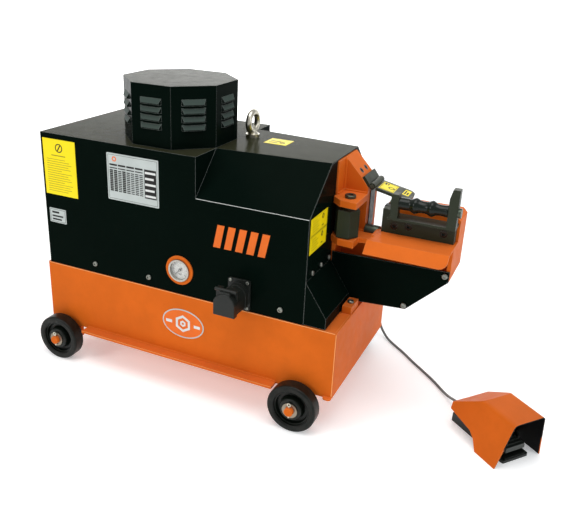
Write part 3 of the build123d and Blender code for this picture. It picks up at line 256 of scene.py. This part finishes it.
class Recipe:
    """One node material, built step by step from object coordinates."""

    def __init__(self, name):
        self.material = bpy.data.materials.new(name)
        self.material.use_nodes = True
        self.tree = self.material.node_tree
        self.shader = self.tree.nodes["Principled BSDF"]
        self.place = self.add("ShaderNodeTexCoord").outputs["Object"]

    def add(self, kind, **settings):
        """A new node with its settings."""
        node = self.tree.nodes.new(kind)
        for key, value in settings.items():
            setattr(node, key, value)
        return node

    def feed(self, socket, value):
        """Links an output to a socket, or sets the socket's value."""
        if isinstance(value, bpy.types.NodeSocket):
            self.tree.links.new(value, socket)
        else:
            socket.default_value = value

    def stretched(self, x, y, z):
        """Object coordinates scaled along each axis."""
        node = self.add("ShaderNodeMapping")
        self.feed(node.inputs["Vector"], self.place)
        node.inputs["Scale"].default_value = (x, y, z)
        return node.outputs["Vector"]

    def speckle(self, scale, detail=3, roughness=0.55, place=None):
        """Noise in object space; the scale is in cells per metre."""
        node = self.add("ShaderNodeTexNoise")
        self.feed(node.inputs["Vector"], place or self.place)
        node.inputs["Scale"].default_value = scale
        node.inputs["Detail"].default_value = detail
        node.inputs["Roughness"].default_value = roughness
        return node.outputs["Fac"]

    def spread(self, value, low, high, out_low=0.0, out_high=1.0):
        """Stretches low..high over out_low..out_high, clamped at both ends."""
        node = self.add("ShaderNodeMapRange")
        self.feed(node.inputs["Value"], value)
        node.inputs["From Min"].default_value = low
        node.inputs["From Max"].default_value = high
        node.inputs["To Min"].default_value = out_low
        node.inputs["To Max"].default_value = out_high
        return node.outputs["Result"]

    def times(self, first, second, operation="MULTIPLY"):
        """The product of two values, or another math operation on them."""
        node = self.add("ShaderNodeMath", operation=operation)
        self.feed(node.inputs[0], first)
        self.feed(node.inputs[1], second)
        return node.outputs[0]

    def blend(self, factor, first, second):
        """The first colour at factor 0, the second at factor 1."""
        node = self.add("ShaderNodeMix", data_type="RGBA")
        self.feed(node.inputs["Factor"], factor)
        self.feed(node.inputs[MIX_FIRST], first)
        self.feed(node.inputs[MIX_SECOND], second)
        return node.outputs[MIX_RESULT]

    def rounded(self, radius):
        """Surface normals softened over the edges, within a radius in millimetres."""
        node = self.add("ShaderNodeBevel", samples=4)
        node.inputs["Radius"].default_value = radius * MM
        return node.outputs["Normal"]

    def edges(self, radius, low=0.02, high=0.25):
        """1 on convex and concave edges, 0 on flat areas."""
        geometry = self.add("ShaderNodeNewGeometry").outputs["Normal"]
        dot = self.add("ShaderNodeVectorMath", operation="DOT_PRODUCT")
        self.feed(dot.inputs[0], self.rounded(radius))
        self.feed(dot.inputs[1], geometry)
        flatness = dot.outputs["Value"]
        return self.spread(self.times(1.0, flatness, "SUBTRACT"), low, high)

    def facing_up(self):
        """The height part of the surface's normal: 1 on level tops, 0 on walls."""
        geometry = self.add("ShaderNodeNewGeometry").outputs["Normal"]
        split = self.add("ShaderNodeSeparateXYZ")
        self.feed(split.inputs[0], geometry)
        return split.outputs["Z"]

    def turned_inward(self, centre, axis):
        """1 on faces that look at an axis through a centre, 0 on those that look away from it."""
        geometry = self.add("ShaderNodeNewGeometry")
        reach = self.add("ShaderNodeVectorMath", operation="SUBTRACT")
        self.feed(reach.inputs[0], geometry.outputs["Position"])
        reach.inputs[1].default_value = centre
        flat = self.add("ShaderNodeVectorMath", operation="CROSS_PRODUCT")
        self.feed(flat.inputs[0], reach.outputs["Vector"])
        flat.inputs[1].default_value = axis
        spoke = self.add("ShaderNodeVectorMath", operation="CROSS_PRODUCT")
        spoke.inputs[0].default_value = axis
        self.feed(spoke.inputs[1], flat.outputs["Vector"])
        dot = self.add("ShaderNodeVectorMath", operation="DOT_PRODUCT")
        self.feed(dot.inputs[0], spoke.outputs["Vector"])
        self.feed(dot.inputs[1], geometry.outputs["Normal"])
        half_band = 0.0005
        return self.spread(dot.outputs["Value"], half_band, -half_band)

    def bumped(self, height, strength, distance=0.3, normal=None):
        """Fine relief in the shading; the distance is in millimetres."""
        node = self.add("ShaderNodeBump")
        node.inputs["Strength"].default_value = strength
        node.inputs["Distance"].default_value = distance * MM
        self.feed(node.inputs["Height"], height)
        if normal is not None:
            self.feed(node.inputs["Normal"], normal)
        self.feed(self.shader.inputs["Normal"], node.outputs["Normal"])

    def finish(self, colour, roughness, metallic=0.0, **plain):
        """Feeds the shader and gives back the material; plain names shader inputs and their values."""
        self.feed(self.shader.inputs["Base Color"], colour)
        self.feed(self.shader.inputs["Roughness"], roughness)
        self.shader.inputs["Metallic"].default_value = metallic
        for key, value in plain.items():
            self.shader.inputs[key.replace("_", " ")].default_value = value
        return self.material


def shade(colour, factor):
    """A lighter or darker version of a colour, with full alpha."""
    return (colour[0] * factor, colour[1] * factor, colour[2] * factor, 1)


def paint(name, colour, roughness, peel=0.12, round_edges=1.2, worn=(0.35, 0.33, 0.3, 1), wear=0.35,
          dust=0.12, dust_colour=(0.33, 0.3, 0.25, 1), dust_slope=0.5, rim=0.0,
          rim_colour=(0.3, 0.33, 0.31, 1), slope_sheen_colour=None, inward_darkening=None, **plain):
    """Sprayed paint: slow tone changes, orange peel, chipped edges, and tops lightened with dust that can
    also carry a painted sheen.

    rim paints a highlight on the edges, slope_sheen_colour paints a sheen on the faces that lean back, and
    inward_darkening makes the faces turned in toward an axis near black.
    """
    recipe = Recipe(name)
    clouds = recipe.spread(recipe.speckle(5, 4), 0.3, 0.7)
    tone = recipe.blend(clouds, shade(colour, 0.9), shade(colour, 1.08))
    smudges = recipe.spread(recipe.speckle(23, 6, 0.65), 0.45, 0.75)
    tone = recipe.blend(recipe.times(smudges, 0.25), tone, shade(colour, 0.72))
    chips = recipe.spread(recipe.speckle(160, 5, 0.7), 0.52, 0.6)
    edge = recipe.times(recipe.times(recipe.edges(round_edges * 1.2), chips), wear)
    tone = recipe.blend(edge, tone, worn)
    # Painted sheen: faces that lean back, such as louvre slopes, are lightened towards the slope sheen
    # colour.
    if slope_sheen_colour:
        slope_sheen = recipe.times(recipe.spread(recipe.facing_up(), 0.2, 0.35),
                               recipe.spread(recipe.facing_up(), 0.9, 0.6))
        tone = recipe.blend(slope_sheen, tone, slope_sheen_colour)
    # Painted highlight: edges lightened towards the rim highlight colour.
    if rim:
        tone = recipe.blend(recipe.times(recipe.edges(2.2, 0.03, 0.2), rim), tone, rim_colour)
    # Tops lightened towards the dust-and-sheen colour: dust, and on the hood a painted sheen as well.
    dust_and_sheen = recipe.times(recipe.spread(recipe.facing_up(), dust_slope, 1.0),
                         recipe.spread(recipe.speckle(14, 6, 0.7), 0.2, 0.8, dust * 0.6, dust))
    tone = recipe.blend(dust_and_sheen, tone, dust_colour)
    # Faces turned in toward the given axis are made near black.
    if inward_darkening:
        tone = recipe.blend(recipe.turned_inward(*inward_darkening), tone, (0.006, 0.006, 0.006, 1))
    gloss = recipe.spread(recipe.speckle(40, 5), 0.3, 0.7, roughness * 0.85, roughness * 1.2)
    recipe.bumped(recipe.speckle(900, 2), peel, 0.12, recipe.rounded(round_edges))
    return recipe.finish(tone, gloss, **plain)


def bare_metal(name, colour, roughness, stretch=(1, 1, 1), grain=0.15, round_edges=0.8, stain=0.35):
    """Ground, turned or plated metal with fine grain and darker stains."""
    recipe = Recipe(name)
    streaks = recipe.speckle(700, 3, 0.6, recipe.stretched(*stretch))
    stains = recipe.spread(recipe.speckle(30, 6, 0.65), 0.4, 0.75)
    tone = recipe.blend(recipe.times(stains, stain), shade(colour, 1.0), shade(colour, 0.45))
    tone = recipe.blend(recipe.spread(streaks, 0.3, 0.7, 0.0, 0.3), tone, shade(colour, 1.25))
    gloss = recipe.spread(streaks, 0.3, 0.7, roughness * 0.75, roughness * 1.35)
    recipe.bumped(streaks, grain, 0.08, recipe.rounded(round_edges))
    return recipe.finish(tone, gloss, metallic=1.0)


def oxide(name, colour, roughness, metallic=0.85):
    """Black-oxide steel: oily dark surface with paler blotches, rubbed bright on its edges."""
    recipe = Recipe(name)
    blotches = recipe.spread(recipe.speckle(45, 6, 0.65), 0.35, 0.7)
    tone = recipe.blend(blotches, shade(colour, 1.0), (colour[0] * 1.5, colour[1] * 1.5, colour[2] * 1.4, 1))
    rub = recipe.times(recipe.edges(0.9), recipe.spread(recipe.speckle(200, 4), 0.4, 0.65, 0.1, 0.8))
    tone = recipe.blend(rub, tone, (0.3, 0.29, 0.27, 1))
    gloss = recipe.spread(recipe.speckle(80, 5), 0.3, 0.7, roughness * 0.8, roughness * 1.3)
    recipe.bumped(recipe.speckle(500, 4), 0.2, 0.1, recipe.rounded(0.7))
    return recipe.finish(tone, gloss, metallic=metallic)


def moulded(name, colour, roughness, grain=0.35, scale=900, round_edges=1.0, scuff=0.03, **plain):
    """Moulded plastic: fine erosion texture, scuffed and dusty."""
    recipe = Recipe(name)
    scuffs = recipe.spread(recipe.speckle(60, 8, 0.75), 0.55, 0.75)
    tone = recipe.blend(recipe.times(scuffs, 0.3), shade(colour, 1.0),
                        (colour[0] + scuff, colour[1] + scuff, colour[2] + scuff, 1))
    rub = recipe.times(recipe.edges(round_edges), recipe.spread(recipe.speckle(120, 4), 0.35, 0.7, 0.0, 0.35))
    tone = recipe.blend(rub, tone, (0.16, 0.16, 0.15, 1))
    gloss = recipe.spread(recipe.speckle(35, 5), 0.3, 0.7, roughness * 0.85, roughness * 1.2)
    recipe.bumped(recipe.speckle(scale, 3), grain, 0.1, recipe.rounded(round_edges))
    return recipe.finish(tone, gloss, **plain)


def rubber(name, colour, roughness, dust=0.25, **plain):
    """Rubber with fine pores, and floor dust worked into it."""
    recipe = Recipe(name)
    grime = recipe.spread(recipe.speckle(38, 8, 0.7), 0.42, 0.72, 0.0, dust)
    tone = recipe.blend(grime, shade(colour, 1.0), (0.2, 0.185, 0.16, 1))
    gloss = recipe.spread(recipe.speckle(55, 5), 0.3, 0.7, roughness * 0.85, roughness * 1.15)
    recipe.bumped(recipe.speckle(1100, 4), 0.3, 0.1, recipe.rounded(1.0))
    return recipe.finish(tone, gloss, **plain)


def film(name, colour, roughness, fade=0.85):
    """Printed film or plate: faint fading, rubbed patches and a soft gloss."""
    recipe = Recipe(name)
    fading = recipe.spread(recipe.speckle(18, 5), 0.3, 0.75)
    tone = recipe.blend(fading, shade(colour, 1.0), shade(colour, fade))
    grime = recipe.spread(recipe.speckle(140, 8, 0.75), 0.55, 0.8, 0.0, 0.3)
    tone = recipe.blend(grime, tone, shade(colour, 0.45))
    gloss = recipe.spread(recipe.speckle(60, 4), 0.3, 0.7, roughness * 0.8, roughness * 1.25)
    recipe.bumped(recipe.speckle(300, 3), 0.08, 0.08)
    return recipe.finish(tone, gloss, Specular_IOR_Level=0.2)


def clear_lens(name):
    """Thin clear window: mostly see-through, with smeared reflections."""
    recipe = Recipe(name)
    smears = recipe.spread(recipe.speckle(90, 6, 0.7), 0.4, 0.8, 0.04, 0.2)
    cover = recipe.spread(recipe.speckle(50, 5, 0.7), 0.35, 0.8, 0.06, 0.16)
    recipe.bumped(recipe.speckle(60, 3), 0.02, 0.1)
    recipe.feed(recipe.shader.inputs["Alpha"], cover)
    return recipe.finish((0.7, 0.72, 0.71, 1), smears)


def floor_finish():
    """Pale matt floor; a little light of its own keeps the shadows soft and pale."""
    recipe = Recipe("pale_floor")
    tone = recipe.blend(recipe.spread(recipe.speckle(1.5, 5), 0.3, 0.7), (0.88, 0.88, 0.87, 1),
                        (0.91, 0.91, 0.9, 1))
    recipe.bumped(recipe.speckle(40, 5), 0.03, 1)
    recipe.shader.inputs["Emission Color"].default_value = (0.97, 0.99, 1, 1)
    recipe.shader.inputs["Emission Strength"].default_value = 0.3
    return recipe.finish(tone, 0.7)


# ---- stage and light ------------------------------------------------------------------------------
STAGE_TURN = radians(24.5)


def make_stage():
    """A pale floor that sweeps up behind the machine, turned to face the camera."""
    mesh = bmesh.new()
    front, depth, rise, radius, half_width, arc_steps = -9.0, 7.0, 6.0, 2.5, 14.0, 12
    profile = [(front, 0.0)]
    for step in range(arc_steps + 1):
        angle = radians(90) * step / arc_steps
        profile.append((depth + radius * sin(angle), radius * (1 - cos(angle))))
    profile.append((depth + radius, rise))
    turn = Matrix.Rotation(STAGE_TURN, 3, "Z")
    left, right = [[mesh.verts.new(turn @ Vector((side, back, height))) for back, height in profile]
                   for side in (-half_width, half_width)]
    for first in range(len(profile) - 1):
        mesh.faces.new((left[first], right[first], right[first + 1], left[first + 1]))
    floor = linked("stage_floor", data_of(mesh, "stage_floor"))
    for face in floor.data.polygons:
        face.use_smooth = True
    floor.data.materials.append(floor_finish())


def softbox(name, place, target, width, height, power, tint=(1, 1, 1)):
    """A rectangular area light at a place, turned to a target."""
    data = bpy.data.lights.new(name, "AREA")
    data.shape = "RECTANGLE"
    data.size = width
    data.size_y = height
    data.energy = power
    data.color = tint
    lamp = linked(name, data)
    lamp.location = place
    lamp.rotation_mode = "QUATERNION"
    lamp.rotation_quaternion = (Vector(target) - Vector(place)).to_track_quat("-Z", "Y")


def light_scene():
    """Soft boxes above and beside the machine, a wash on the backdrop and an even sky."""
    world = bpy.data.worlds.new("studio")
    world.use_nodes = True
    background = world.node_tree.nodes["Background"]
    background.inputs["Color"].default_value = (0.95, 0.96, 1.0, 1)
    background.inputs["Strength"].default_value = 0.52
    bpy.context.scene.world = world
    softbox("top_box", (0.3, -0.6, 3.6), (0, 0, 0.3), 3.2, 2.4, 74)
    softbox("key_box", (-2.6, -3.4, 2.4), (0.1, 0, 0.35), 1.6, 1.6, 54, (1.0, 0.98, 0.95))
    softbox("side_box", (3.8, -0.6, 1.9), (0.3, 0, 0.4), 1.4, 1.8, 24, (0.96, 0.98, 1.0))
    softbox("backdrop_wash", (-1.5, 3.2, 3.4), (-3.6, 9.0, 1.2), 4.0, 2.0, 620)
    bpy.context.scene.view_settings.view_transform = "Standard"


# ---- cable ----------------------------------------------------------------------------------------
CABLE_ROUTE = [
    (880, 482, 190), (880, 512, 190), (882, 545, 176), (886, 568, 142), (890, 580, 100), (893, 584, 50),
    (907, 579.5, 24), (932, 561, 6), (962, 534, 4.6), (1000, 503, 4.2),
    (1046, 456, 4.7), (1090, 417, 4.2), (1130, 379, 4.7),
    (1162, 343, 4.4), (1184, 314, 9), (1202, 291, 17)]
CABLE_END = (-42, -20)


def make_cable(material):
    """The pedal's cable, on the route of its solid; its last two points are placed on the pedal."""
    points = [at(*place) for place in CABLE_ROUTE]
    points += [on_pedal(forward, PEDAL_MIDDLE, CORD_LEVEL) for forward in CABLE_END]
    data = bpy.data.curves.new("cable_line", "CURVE")
    data.dimensions = "3D"
    data.bevel_depth = CORD_DIAMETER / 2 * MM
    data.bevel_resolution = 6
    data.resolution_u = 16
    data.use_fill_caps = True
    spline = data.splines.new("NURBS")
    spline.points.add(len(points) - 1)
    for control, place in zip(spline.points, points):
        control.co = (*place, 1)
    spline.order_u = 3
    spline.use_endpoint_u = True
    cable = linked("cable_line", data)
    cable.data.materials.append(material)
    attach(cable, "machine")
    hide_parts("pedal_cable")
    return cable


def make_strain_reliefs(material):
    """Tapered, ribbed sleeves with a hexagonal nut, at the tank and at the pedal."""
    mesh = bmesh.new()
    ribs = []
    for step in range(5):
        ribs += [(8 + 2.6 * step, 7.6 - 0.35 * step), (9.4 + 2.6 * step, 7.4 - 0.35 * step),
                 (9.5 + 2.6 * step, 6.2 - 0.3 * step), (10.5 + 2.6 * step, 6.2 - 0.3 * step)]
    seats = ((at(*GLAND), ACROSS), (on_pedal(2, PEDAL_MIDDLE, CORD_LEVEL), -pedal_forward))
    for origin, axis in seats:
        lathe(mesh, origin, axis, [(0, 10.5), (1.2, 11.3), (6.0, 11.3), (7.0, 10.5)], 6)
        lathe(mesh, origin, axis, [(7, 9.0), *ribs, (21.8, 5.2)], 28)
    piece = piece_from("strain_reliefs", "machine", mesh, material)
    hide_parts("cable_glands")
    return piece


# ---- prints on the labels and plates --------------------------------------------------------------
# Places in these functions are machine millimetres on the face that carries the print.
LABEL_FACE = 2.4
LABEL_THICKNESS = 0.6
PLATE_FACE = 2.0
BADGE_FACE = -1
BADGE_CENTRE = (473, 209)
BADGE_RADII = (64.5, 41.5)
ARM_LABEL_CORNER = (917.5, 0, 626.5)
ARM_SLOPE = radians(-12)
THIN_INK = 0.15
INK = 0.2
BADGE_FILM = 0.25
STICKER = 0.4
LINE_WIDTHS = (70, 84, 78, 88, 60, 86, 80, 74, 88, 52, 84, 76, 88, 80, 66)


def print_front_label(ink, faint):
    """A ring with a slanted bar, a heading and lines of small print."""
    face = at(0, LABEL_FACE, 0)
    symbol = ring(64, 662, 13, 10) + [slanted(57, 654, 4, 16, 10)]
    prisms("front_label_symbol", "machine", ink, face, ALONG, UP, symbol, INK)
    rows = [bar(36, 638, 50, 3)] + lines(18, 532, LINE_WIDTHS, 6.8, 1.5)
    prisms("front_label_lines", "machine", faint, face, ALONG, UP, rows, INK)


def print_end_label(ink, faint):
    """Two fields one over the other, each with a ring and some lines."""
    face = at(HOOD_END + LABEL_THICKNESS, 0, 0)
    dark = [bar(14, 539, 116, 2)]
    rows = []
    for low in (492, 541):
        dark += ring(98, low + 34, 7, 3.5) + [bar(92, low + 8, 12, 3)]
        rows += lines(26, low + 8, (40, 46, 38, 44, 30), 7, 2)
        rows += frame_bars(17, low + 3, 110, 41, 0.8)
    prisms("end_label_marks", "machine", ink, face, ACROSS, UP, dark, INK)
    prisms("end_label_lines", "machine", faint, face, ACROSS, UP, rows, INK)


def print_top_label(ink):
    """A small ring and two bars."""
    face = at(0, 0, HOOD_TOP + LABEL_THICKNESS)
    marks = ring(642, 262, 8, 4) + [slanted(602, 270, 30, 5, 6), bar(604, 254, 26, 4)]
    prisms("top_label_marks", "machine", ink, face, ALONG, ACROSS, marks, INK)


def print_data_plate(ink, orange, pale):
    """Table with four pairs of columns, a side strip and a small mark in the corner."""
    face = at(0, PLATE_FACE, 0)
    table_low, row_pitch, rows = 568, 5.2, (11,) * 12
    dark = frame_bars(235, 546, 160, 126, 0.8)
    for block in range(4):
        left = 240 + 28 * block
        dark.append(bar(left, 641, 25, 5))
        dark.append(bar(left, 633, 25, 3))
        dark += lines(left, table_low, rows, row_pitch, 4.2 if block == 0 else 3)
        dark += lines(left + 14, table_low, rows, row_pitch, 4.2 if block < 2 else 2.6)
    dark.append(bar(354, 564, 38, 82))
    prisms("data_plate_table", "machine", ink, face, ALONG, UP, dark, THIN_INK)
    strip = lines(356, table_low, (34, 30, 34, 28, 34), 16.4, 6)
    prisms("data_plate_values", "machine", pale, face, ALONG, UP, strip, 2 * THIN_INK)
    corner = ring(256, 660, 8, 4.5, steps=6)
    prisms("data_plate_mark", "machine", orange, face, ALONG, UP, corner, INK)
    small = frame_bars(16, 436, 54, 38, 1) + [bar(22, 462, 26, 6), bar(22, 451, 40, 5), bar(22, 441, 34, 5)]
    prisms("small_plate_marks", "machine", ink, face, ALONG, UP, small, INK)


def print_badge(orange, pale):
    """Plain emblem on the base: an orange field with a hexagon and two bars."""
    face = at(0, BADGE_FACE, 0)
    angles = [radians(10 * step) for step in range(36)]
    field = [(BADGE_CENTRE[0] + BADGE_RADII[0] * cos(angle), BADGE_CENTRE[1] + BADGE_RADII[1] * sin(angle))
             for angle in angles]
    prisms("badge_field", "machine", orange, face, ALONG, UP, [field], BADGE_FILM)
    marks = ring(*BADGE_CENTRE, 27, 19, start=30, steps=6) + ring(*BADGE_CENTRE, 10, 4, start=30, steps=6)
    marks += [bar(left, BADGE_CENTRE[1] - 5, 20, 9) for left in (417, 509)]
    prisms("badge_marks", "machine", pale, face, ALONG, UP, marks, BADGE_FILM + INK)


def print_stripes(orange):
    """Slanted orange stripes on the front of the hood."""
    shapes = [slanted(567 + 33 * step, 465, 21, 65, 13) for step in range(5)]
    prisms("hood_stripes", "machine", orange, at(0, HOOD_FRONT, 0), ALONG, UP, shapes, INK)


def print_arm_labels(yellow, ink):
    """Two labels stuck on the guard arm; they lift with it."""
    along = Vector((cos(ARM_SLOPE), 0, sin(ARM_SLOPE)))
    normal = along.cross(ACROSS)
    sunk = 1 * MM
    face = at(*ARM_LABEL_CORNER) - normal * sunk
    backs = [bar(14, 258, 43, 62), bar(77, 275, 18, 43)]
    prisms("arm_labels", "guard_arm", yellow, face, along, ACROSS, backs, STICKER)
    marks = ring(44, 286, 9, 6) + frame_bars(16, 260, 39, 58, 1)
    marks += [bar(20, 300, 5, 14), bar(28, 300, 3, 14), bar(80, 282, 4, 28), bar(87, 282, 4, 20)]
    prisms("arm_label_marks", "guard_arm", ink, face, along, ACROSS, marks,
           STICKER + THIN_INK)


# ---- spring of the foot pedal ---------------------------------------------------------------------
SPRING_STATION = 150
SPRING_TURNS = 5
SPRING_HEIGHT = 21.8
SPRING_RADIUS = 8
SPRING_WIRE = 1.1


def make_pedal_spring(material):
    """Coil spring under the treadle."""
    seat = on_pedal(SPRING_STATION, PEDAL_MIDDLE, PEDAL_FLOOR)
    steps_a_turn = 24
    steps = steps_a_turn * SPRING_TURNS
    mesh = bmesh.new()
    rows = []
    for step in range(steps + 1):
        turn = 2 * pi * step / steps_a_turn
        outward = Vector((cos(turn), sin(turn), 0))
        rise = SPRING_WIRE + SPRING_HEIGHT * step / steps
        middle = seat + (outward * SPRING_RADIUS + UP * rise) * MM
        rows.append(circle(mesh, middle, outward, -UP, SPRING_WIRE, 8))
    skin(mesh, rows)
    bmesh.ops.recalc_face_normals(mesh, faces=mesh.faces)
    spring = piece_from("treadle_spring", "machine", mesh, material, smooth=True)
    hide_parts("pedal_spring")
    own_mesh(spring)


# ---- painted glints on the folds ------------------------------------------------------------------
def make_fold_glints(pale_glint, orange_glint):
    """Thin painted highlights where the sheets fold: the hood, the tank's rim and its flange."""
    width = 1.4
    fold = [bar(HOOD_STEP + 1, HOOD_FOLD - 1.2, HOOD_END - HOOD_STEP - 2, width)]
    prisms("hood_fold_glint", "machine", pale_glint, at(0, HOOD_FRONT, 0), ALONG, UP, fold, THIN_INK)
    rim = [bar(TANK_ENDS[0] + 4, HOOD_BOTTOM - 1.5, TANK_ENDS[1] - TANK_ENDS[0] - 8, width)]
    prisms("tank_rim_glint", "machine", orange_glint, at(0, 0, 0), ALONG, UP, rim, THIN_INK)
    flange = [bar(FLANGE_ENDS[0] + 1, 0.2 - FLANGE_WIDTH, FLANGE_ENDS[1] - FLANGE_ENDS[0] - 3, 1.6)]
    prisms("flange_glint", "machine", orange_glint, at(0, 0, FLANGE_TOP), ALONG, ACROSS,
           flange, THIN_INK)
    outward = (ALONG - ACROSS).normalized()
    corner = [bar(-0.9, FLANGE_TOP + 2, 1.8, 186)]
    prisms("tank_corner_glint", "machine", orange_glint, at(TANK_ENDS[1] - 1.2, 1.2, 0),
           UP.cross(outward), UP, corner, INK)


# ---- pressure gauge -------------------------------------------------------------------------------
GAUGE = (462, 373)
GAUGE_DIAL = 5.5
GAUGE_WINDOW = -1.2


def make_gauge_face(ink, clear):
    """Scale of the gauge with its ticks, and the domed window."""
    centre = at(GAUGE[0], GAUGE_DIAL, GAUGE[1])
    outer, scale_start, tick_step = 23.8, -45, 9
    ticks = ring(0, 0, outer + 0.4, outer, start=scale_start, turn=270, steps=54)
    for step in range(31):
        angle = radians(scale_start + tick_step * step)
        inner, half = (18.5, 0.5) if step % 5 == 0 else (21.2, 0.25)
        out = Vector((cos(angle), sin(angle)))
        side = Vector((-out.y, out.x)) * half
        ticks.append([tuple(corner) for corner in (out * inner - side, out * outer - side,
                                                   out * outer + side, out * inner + side)])
    ticks += [bar(-6, -13, 12, 1.4), bar(-4, -16.5, 8, 1.4)]
    prisms("gauge_scale", "machine", ink, centre, ALONG, UP, ticks, INK)
    mesh = bmesh.new()
    dome = [(0, 27.2), (1.0, 27.2), (1.6, 24), (2.1, 18), (2.4, 10), (2.5, 2)]
    lathe(mesh, at(GAUGE[0], GAUGE_WINDOW, GAUGE[1]), -ACROSS, dome, 48)
    piece_from("gauge_lens", "machine", mesh, clear, smooth=True)


# ---- weld beads -----------------------------------------------------------------------------------
def make_welds(material):
    """Beads where the lugs, gusset and nose join the head plate, and along the base's flanges."""
    front = PLATE_FRONT - 1
    gusset = LUG_ENDS[0] + 4
    left, right = LUG_ENDS[0] + 5, LUG_ENDS[1] - 2
    runs = [((left, front, height), (right, front, height), radius)
            for height, radius in ((608, 3), (588, 2.5), (500, 3))]
    runs += [((gusset, front, 610), (gusset, front, 694), 4),
             ((gusset, PLATE_FRONT - 50, 608), (gusset, PLATE_FRONT - 4, 608), 3)]
    left, right = FLANGE_ENDS[0] + 2, FLANGE_ENDS[1] - 2
    seam = FLANGE_TOP + 0.5
    runs += [((left, across, seam), (right, across, seam), 2.5) for across in (-0.5, BODY_WIDTH + 0.5)]
    mesh = bmesh.new()
    for start, end, radius in runs:
        bead(mesh, at(*start), at(*end), radius)
    piece_from("weld_beads", "machine", mesh, material, smooth=True)


# ---- run ------------------------------------------------------------------------------------------
make_camera()
cable_rubber = rubber("cable_rubber_look", (0.1, 0.105, 0.1), 0.45)
black_plastic = moulded("black_plastic_look", (0.008, 0.01, 0.008), 0.4, Specular_IOR_Level=0.3)
cable = make_cable(cable_rubber)
reliefs = make_strain_reliefs(black_plastic)
make_stage()
light_scene()

ORANGE = (0.64, 0.128, 0.012)
# Orange paint, with a painted highlight along its edges.
ORANGE_FINISH = dict(roughness=0.42, worn=(0.3, 0.2, 0.14, 1), dust=0.05, rim=0.45,
                     rim_colour=(0.85, 0.36, 0.14, 1), Specular_IOR_Level=0.03)
orange_look = paint("orange_paint_look", ORANGE, **ORANGE_FINISH)
# Near-black hood paint: its tops are lightened to a warm grey, partly dust and partly a painted sheen, and
# its edges get a painted highlight.
HOOD_FINISH = dict(colour=(0.0015, 0.0045, 0.0032), roughness=0.2, wear=0.5, rim=0.5, dust=0.3,
                   dust_colour=(0.1, 0.096, 0.05, 1), dust_slope=0.9, Specular_IOR_Level=0.008,
                   Specular_Tint=(1, 0.98, 0.76, 1))
LOOKS = {
    "orange_paint": orange_look,
    "hood_paint": paint("hood_paint_look", **HOOD_FINISH),
    "dark_paint": paint("dark_paint_look", (0.02, 0.027, 0.014), 0.42, wear=0.5, dust=0.1,
                        Specular_IOR_Level=0.22),
    "motor_paint": paint("motor_paint_look", (0.05, 0.07, 0.09), 0.4),
    "zinc": bare_metal("zinc_look", (0.6, 0.57, 0.47), 0.28),
    "steel": bare_metal("steel_look", (0.42, 0.42, 0.41), 0.32),
    "blade_steel": oxide("blade_steel_look", (0.012, 0.013, 0.011), 0.45, 0.1),
    "black_oxide": oxide("black_oxide_look", (0.062, 0.078, 0.06), 0.35),
    "chrome_rod": bare_metal("chrome_rod_look", (0.72, 0.72, 0.72), 0.1, (0.1, 1, 1), stain=0.1),
    "tyre_rubber": rubber("tyre_rubber_look", (0.003, 0.0045, 0.003), 0.4, 0.06, Specular_IOR_Level=0.2),
    "hub_iron": moulded("hub_iron_look", (0.003, 0.005, 0.003), 0.36, 0.25, 500, Specular_IOR_Level=0.25),
    "black_plastic": black_plastic,
    "cable_rubber": cable_rubber,
    "label_yellow": film("label_yellow_look", (0.9, 0.72, 0.004), 0.35, 0.94),
    "plate_silver": film("plate_silver_look", (0.5, 0.55, 0.53), 0.35),
    "dial_white": film("dial_white_look", (0.62, 0.62, 0.58), 0.4, 0.95),
    "needle_black": moulded("needle_black_look", (0.01, 0.01, 0.01), 0.4),
    "roller_black": paint("roller_black_look", (0.004, 0.008, 0.005), 0.22, wear=0.3, dust=0.03,
                          Specular_IOR_Level=0.25),
    "fan_plastic": moulded("fan_plastic_look", (0.03, 0.03, 0.03), 0.5),
}
for row in frame["record"]["subparts"]:
    node = nodes[row["node"]]
    node.data.materials.clear()
    node.data.materials.append(LOOKS[row["material_slot"]])
SPECIAL_LOOKS = {
    # Motor cover: the louvre slopes get a painted sheen.
    "motor_cover": paint("motor_cover_look", slope_sheen_colour=(0.045, 0.062, 0.054, 1), **HOOD_FINISH),
    # The pedal guard is a darker orange, near black on the faces turned in toward the pedal's middle.
    "pedal_guard": paint("pedal_guard_look", shade(ORANGE, 0.85), **ORANGE_FINISH,
                         inward_darkening=(on_pedal(120, PEDAL_MIDDLE, 60), pedal_forward)),
    "axle_washers": bare_metal("washer_look", (0.3, 0.26, 0.2), 0.4, stain=0.6),
    "gauge_case": bare_metal("gauge_case_look", (0.42, 0.41, 0.37), 0.35),
    "gauge_dial": film("dial_face_look", (0.78, 0.78, 0.74), 0.4, 0.97),
    "cover_bolts": bare_metal("cover_bolt_look", (0.24, 0.25, 0.22), 0.35),
    "socket_screws": oxide("socket_screw_look", (0.02, 0.022, 0.02), 0.25),
    "pedal_treadle": moulded("treadle_look", (0.016, 0.022, 0.017), 0.35, 0.6, 1400),
}
for name, look in SPECIAL_LOOKS.items():
    nodes[name].data.materials.clear()
    nodes[name].data.materials.append(look)

print_ink = film("print_ink_look", (0.012, 0.012, 0.011), 0.45)
faint_ink = film("faint_ink_look", (0.35, 0.29, 0.012), 0.45)
pale_film = film("pale_film_look", (0.72, 0.74, 0.72), 0.4)
orange_film = film("orange_film_look", (0.8, 0.15, 0.012), 0.4)
print_front_label(print_ink, faint_ink)
print_end_label(print_ink, faint_ink)
print_top_label(print_ink)
print_data_plate(print_ink, orange_film, pale_film)
print_badge(orange_film, pale_film)
print_stripes(orange_film)
print_arm_labels(LOOKS["label_yellow"], print_ink)
make_gauge_face(print_ink, clear_lens("gauge_lens_look"))
make_welds(orange_look)
make_pedal_spring(LOOKS["steel"])
# Pale metal and pale orange strips: painted highlights along the folds.
make_fold_glints(bare_metal("fold_glint_look", (0.62, 0.64, 0.62), 0.4, stain=0.2),
                film("orange_glint_look", (0.95, 0.42, 0.15), 0.35))
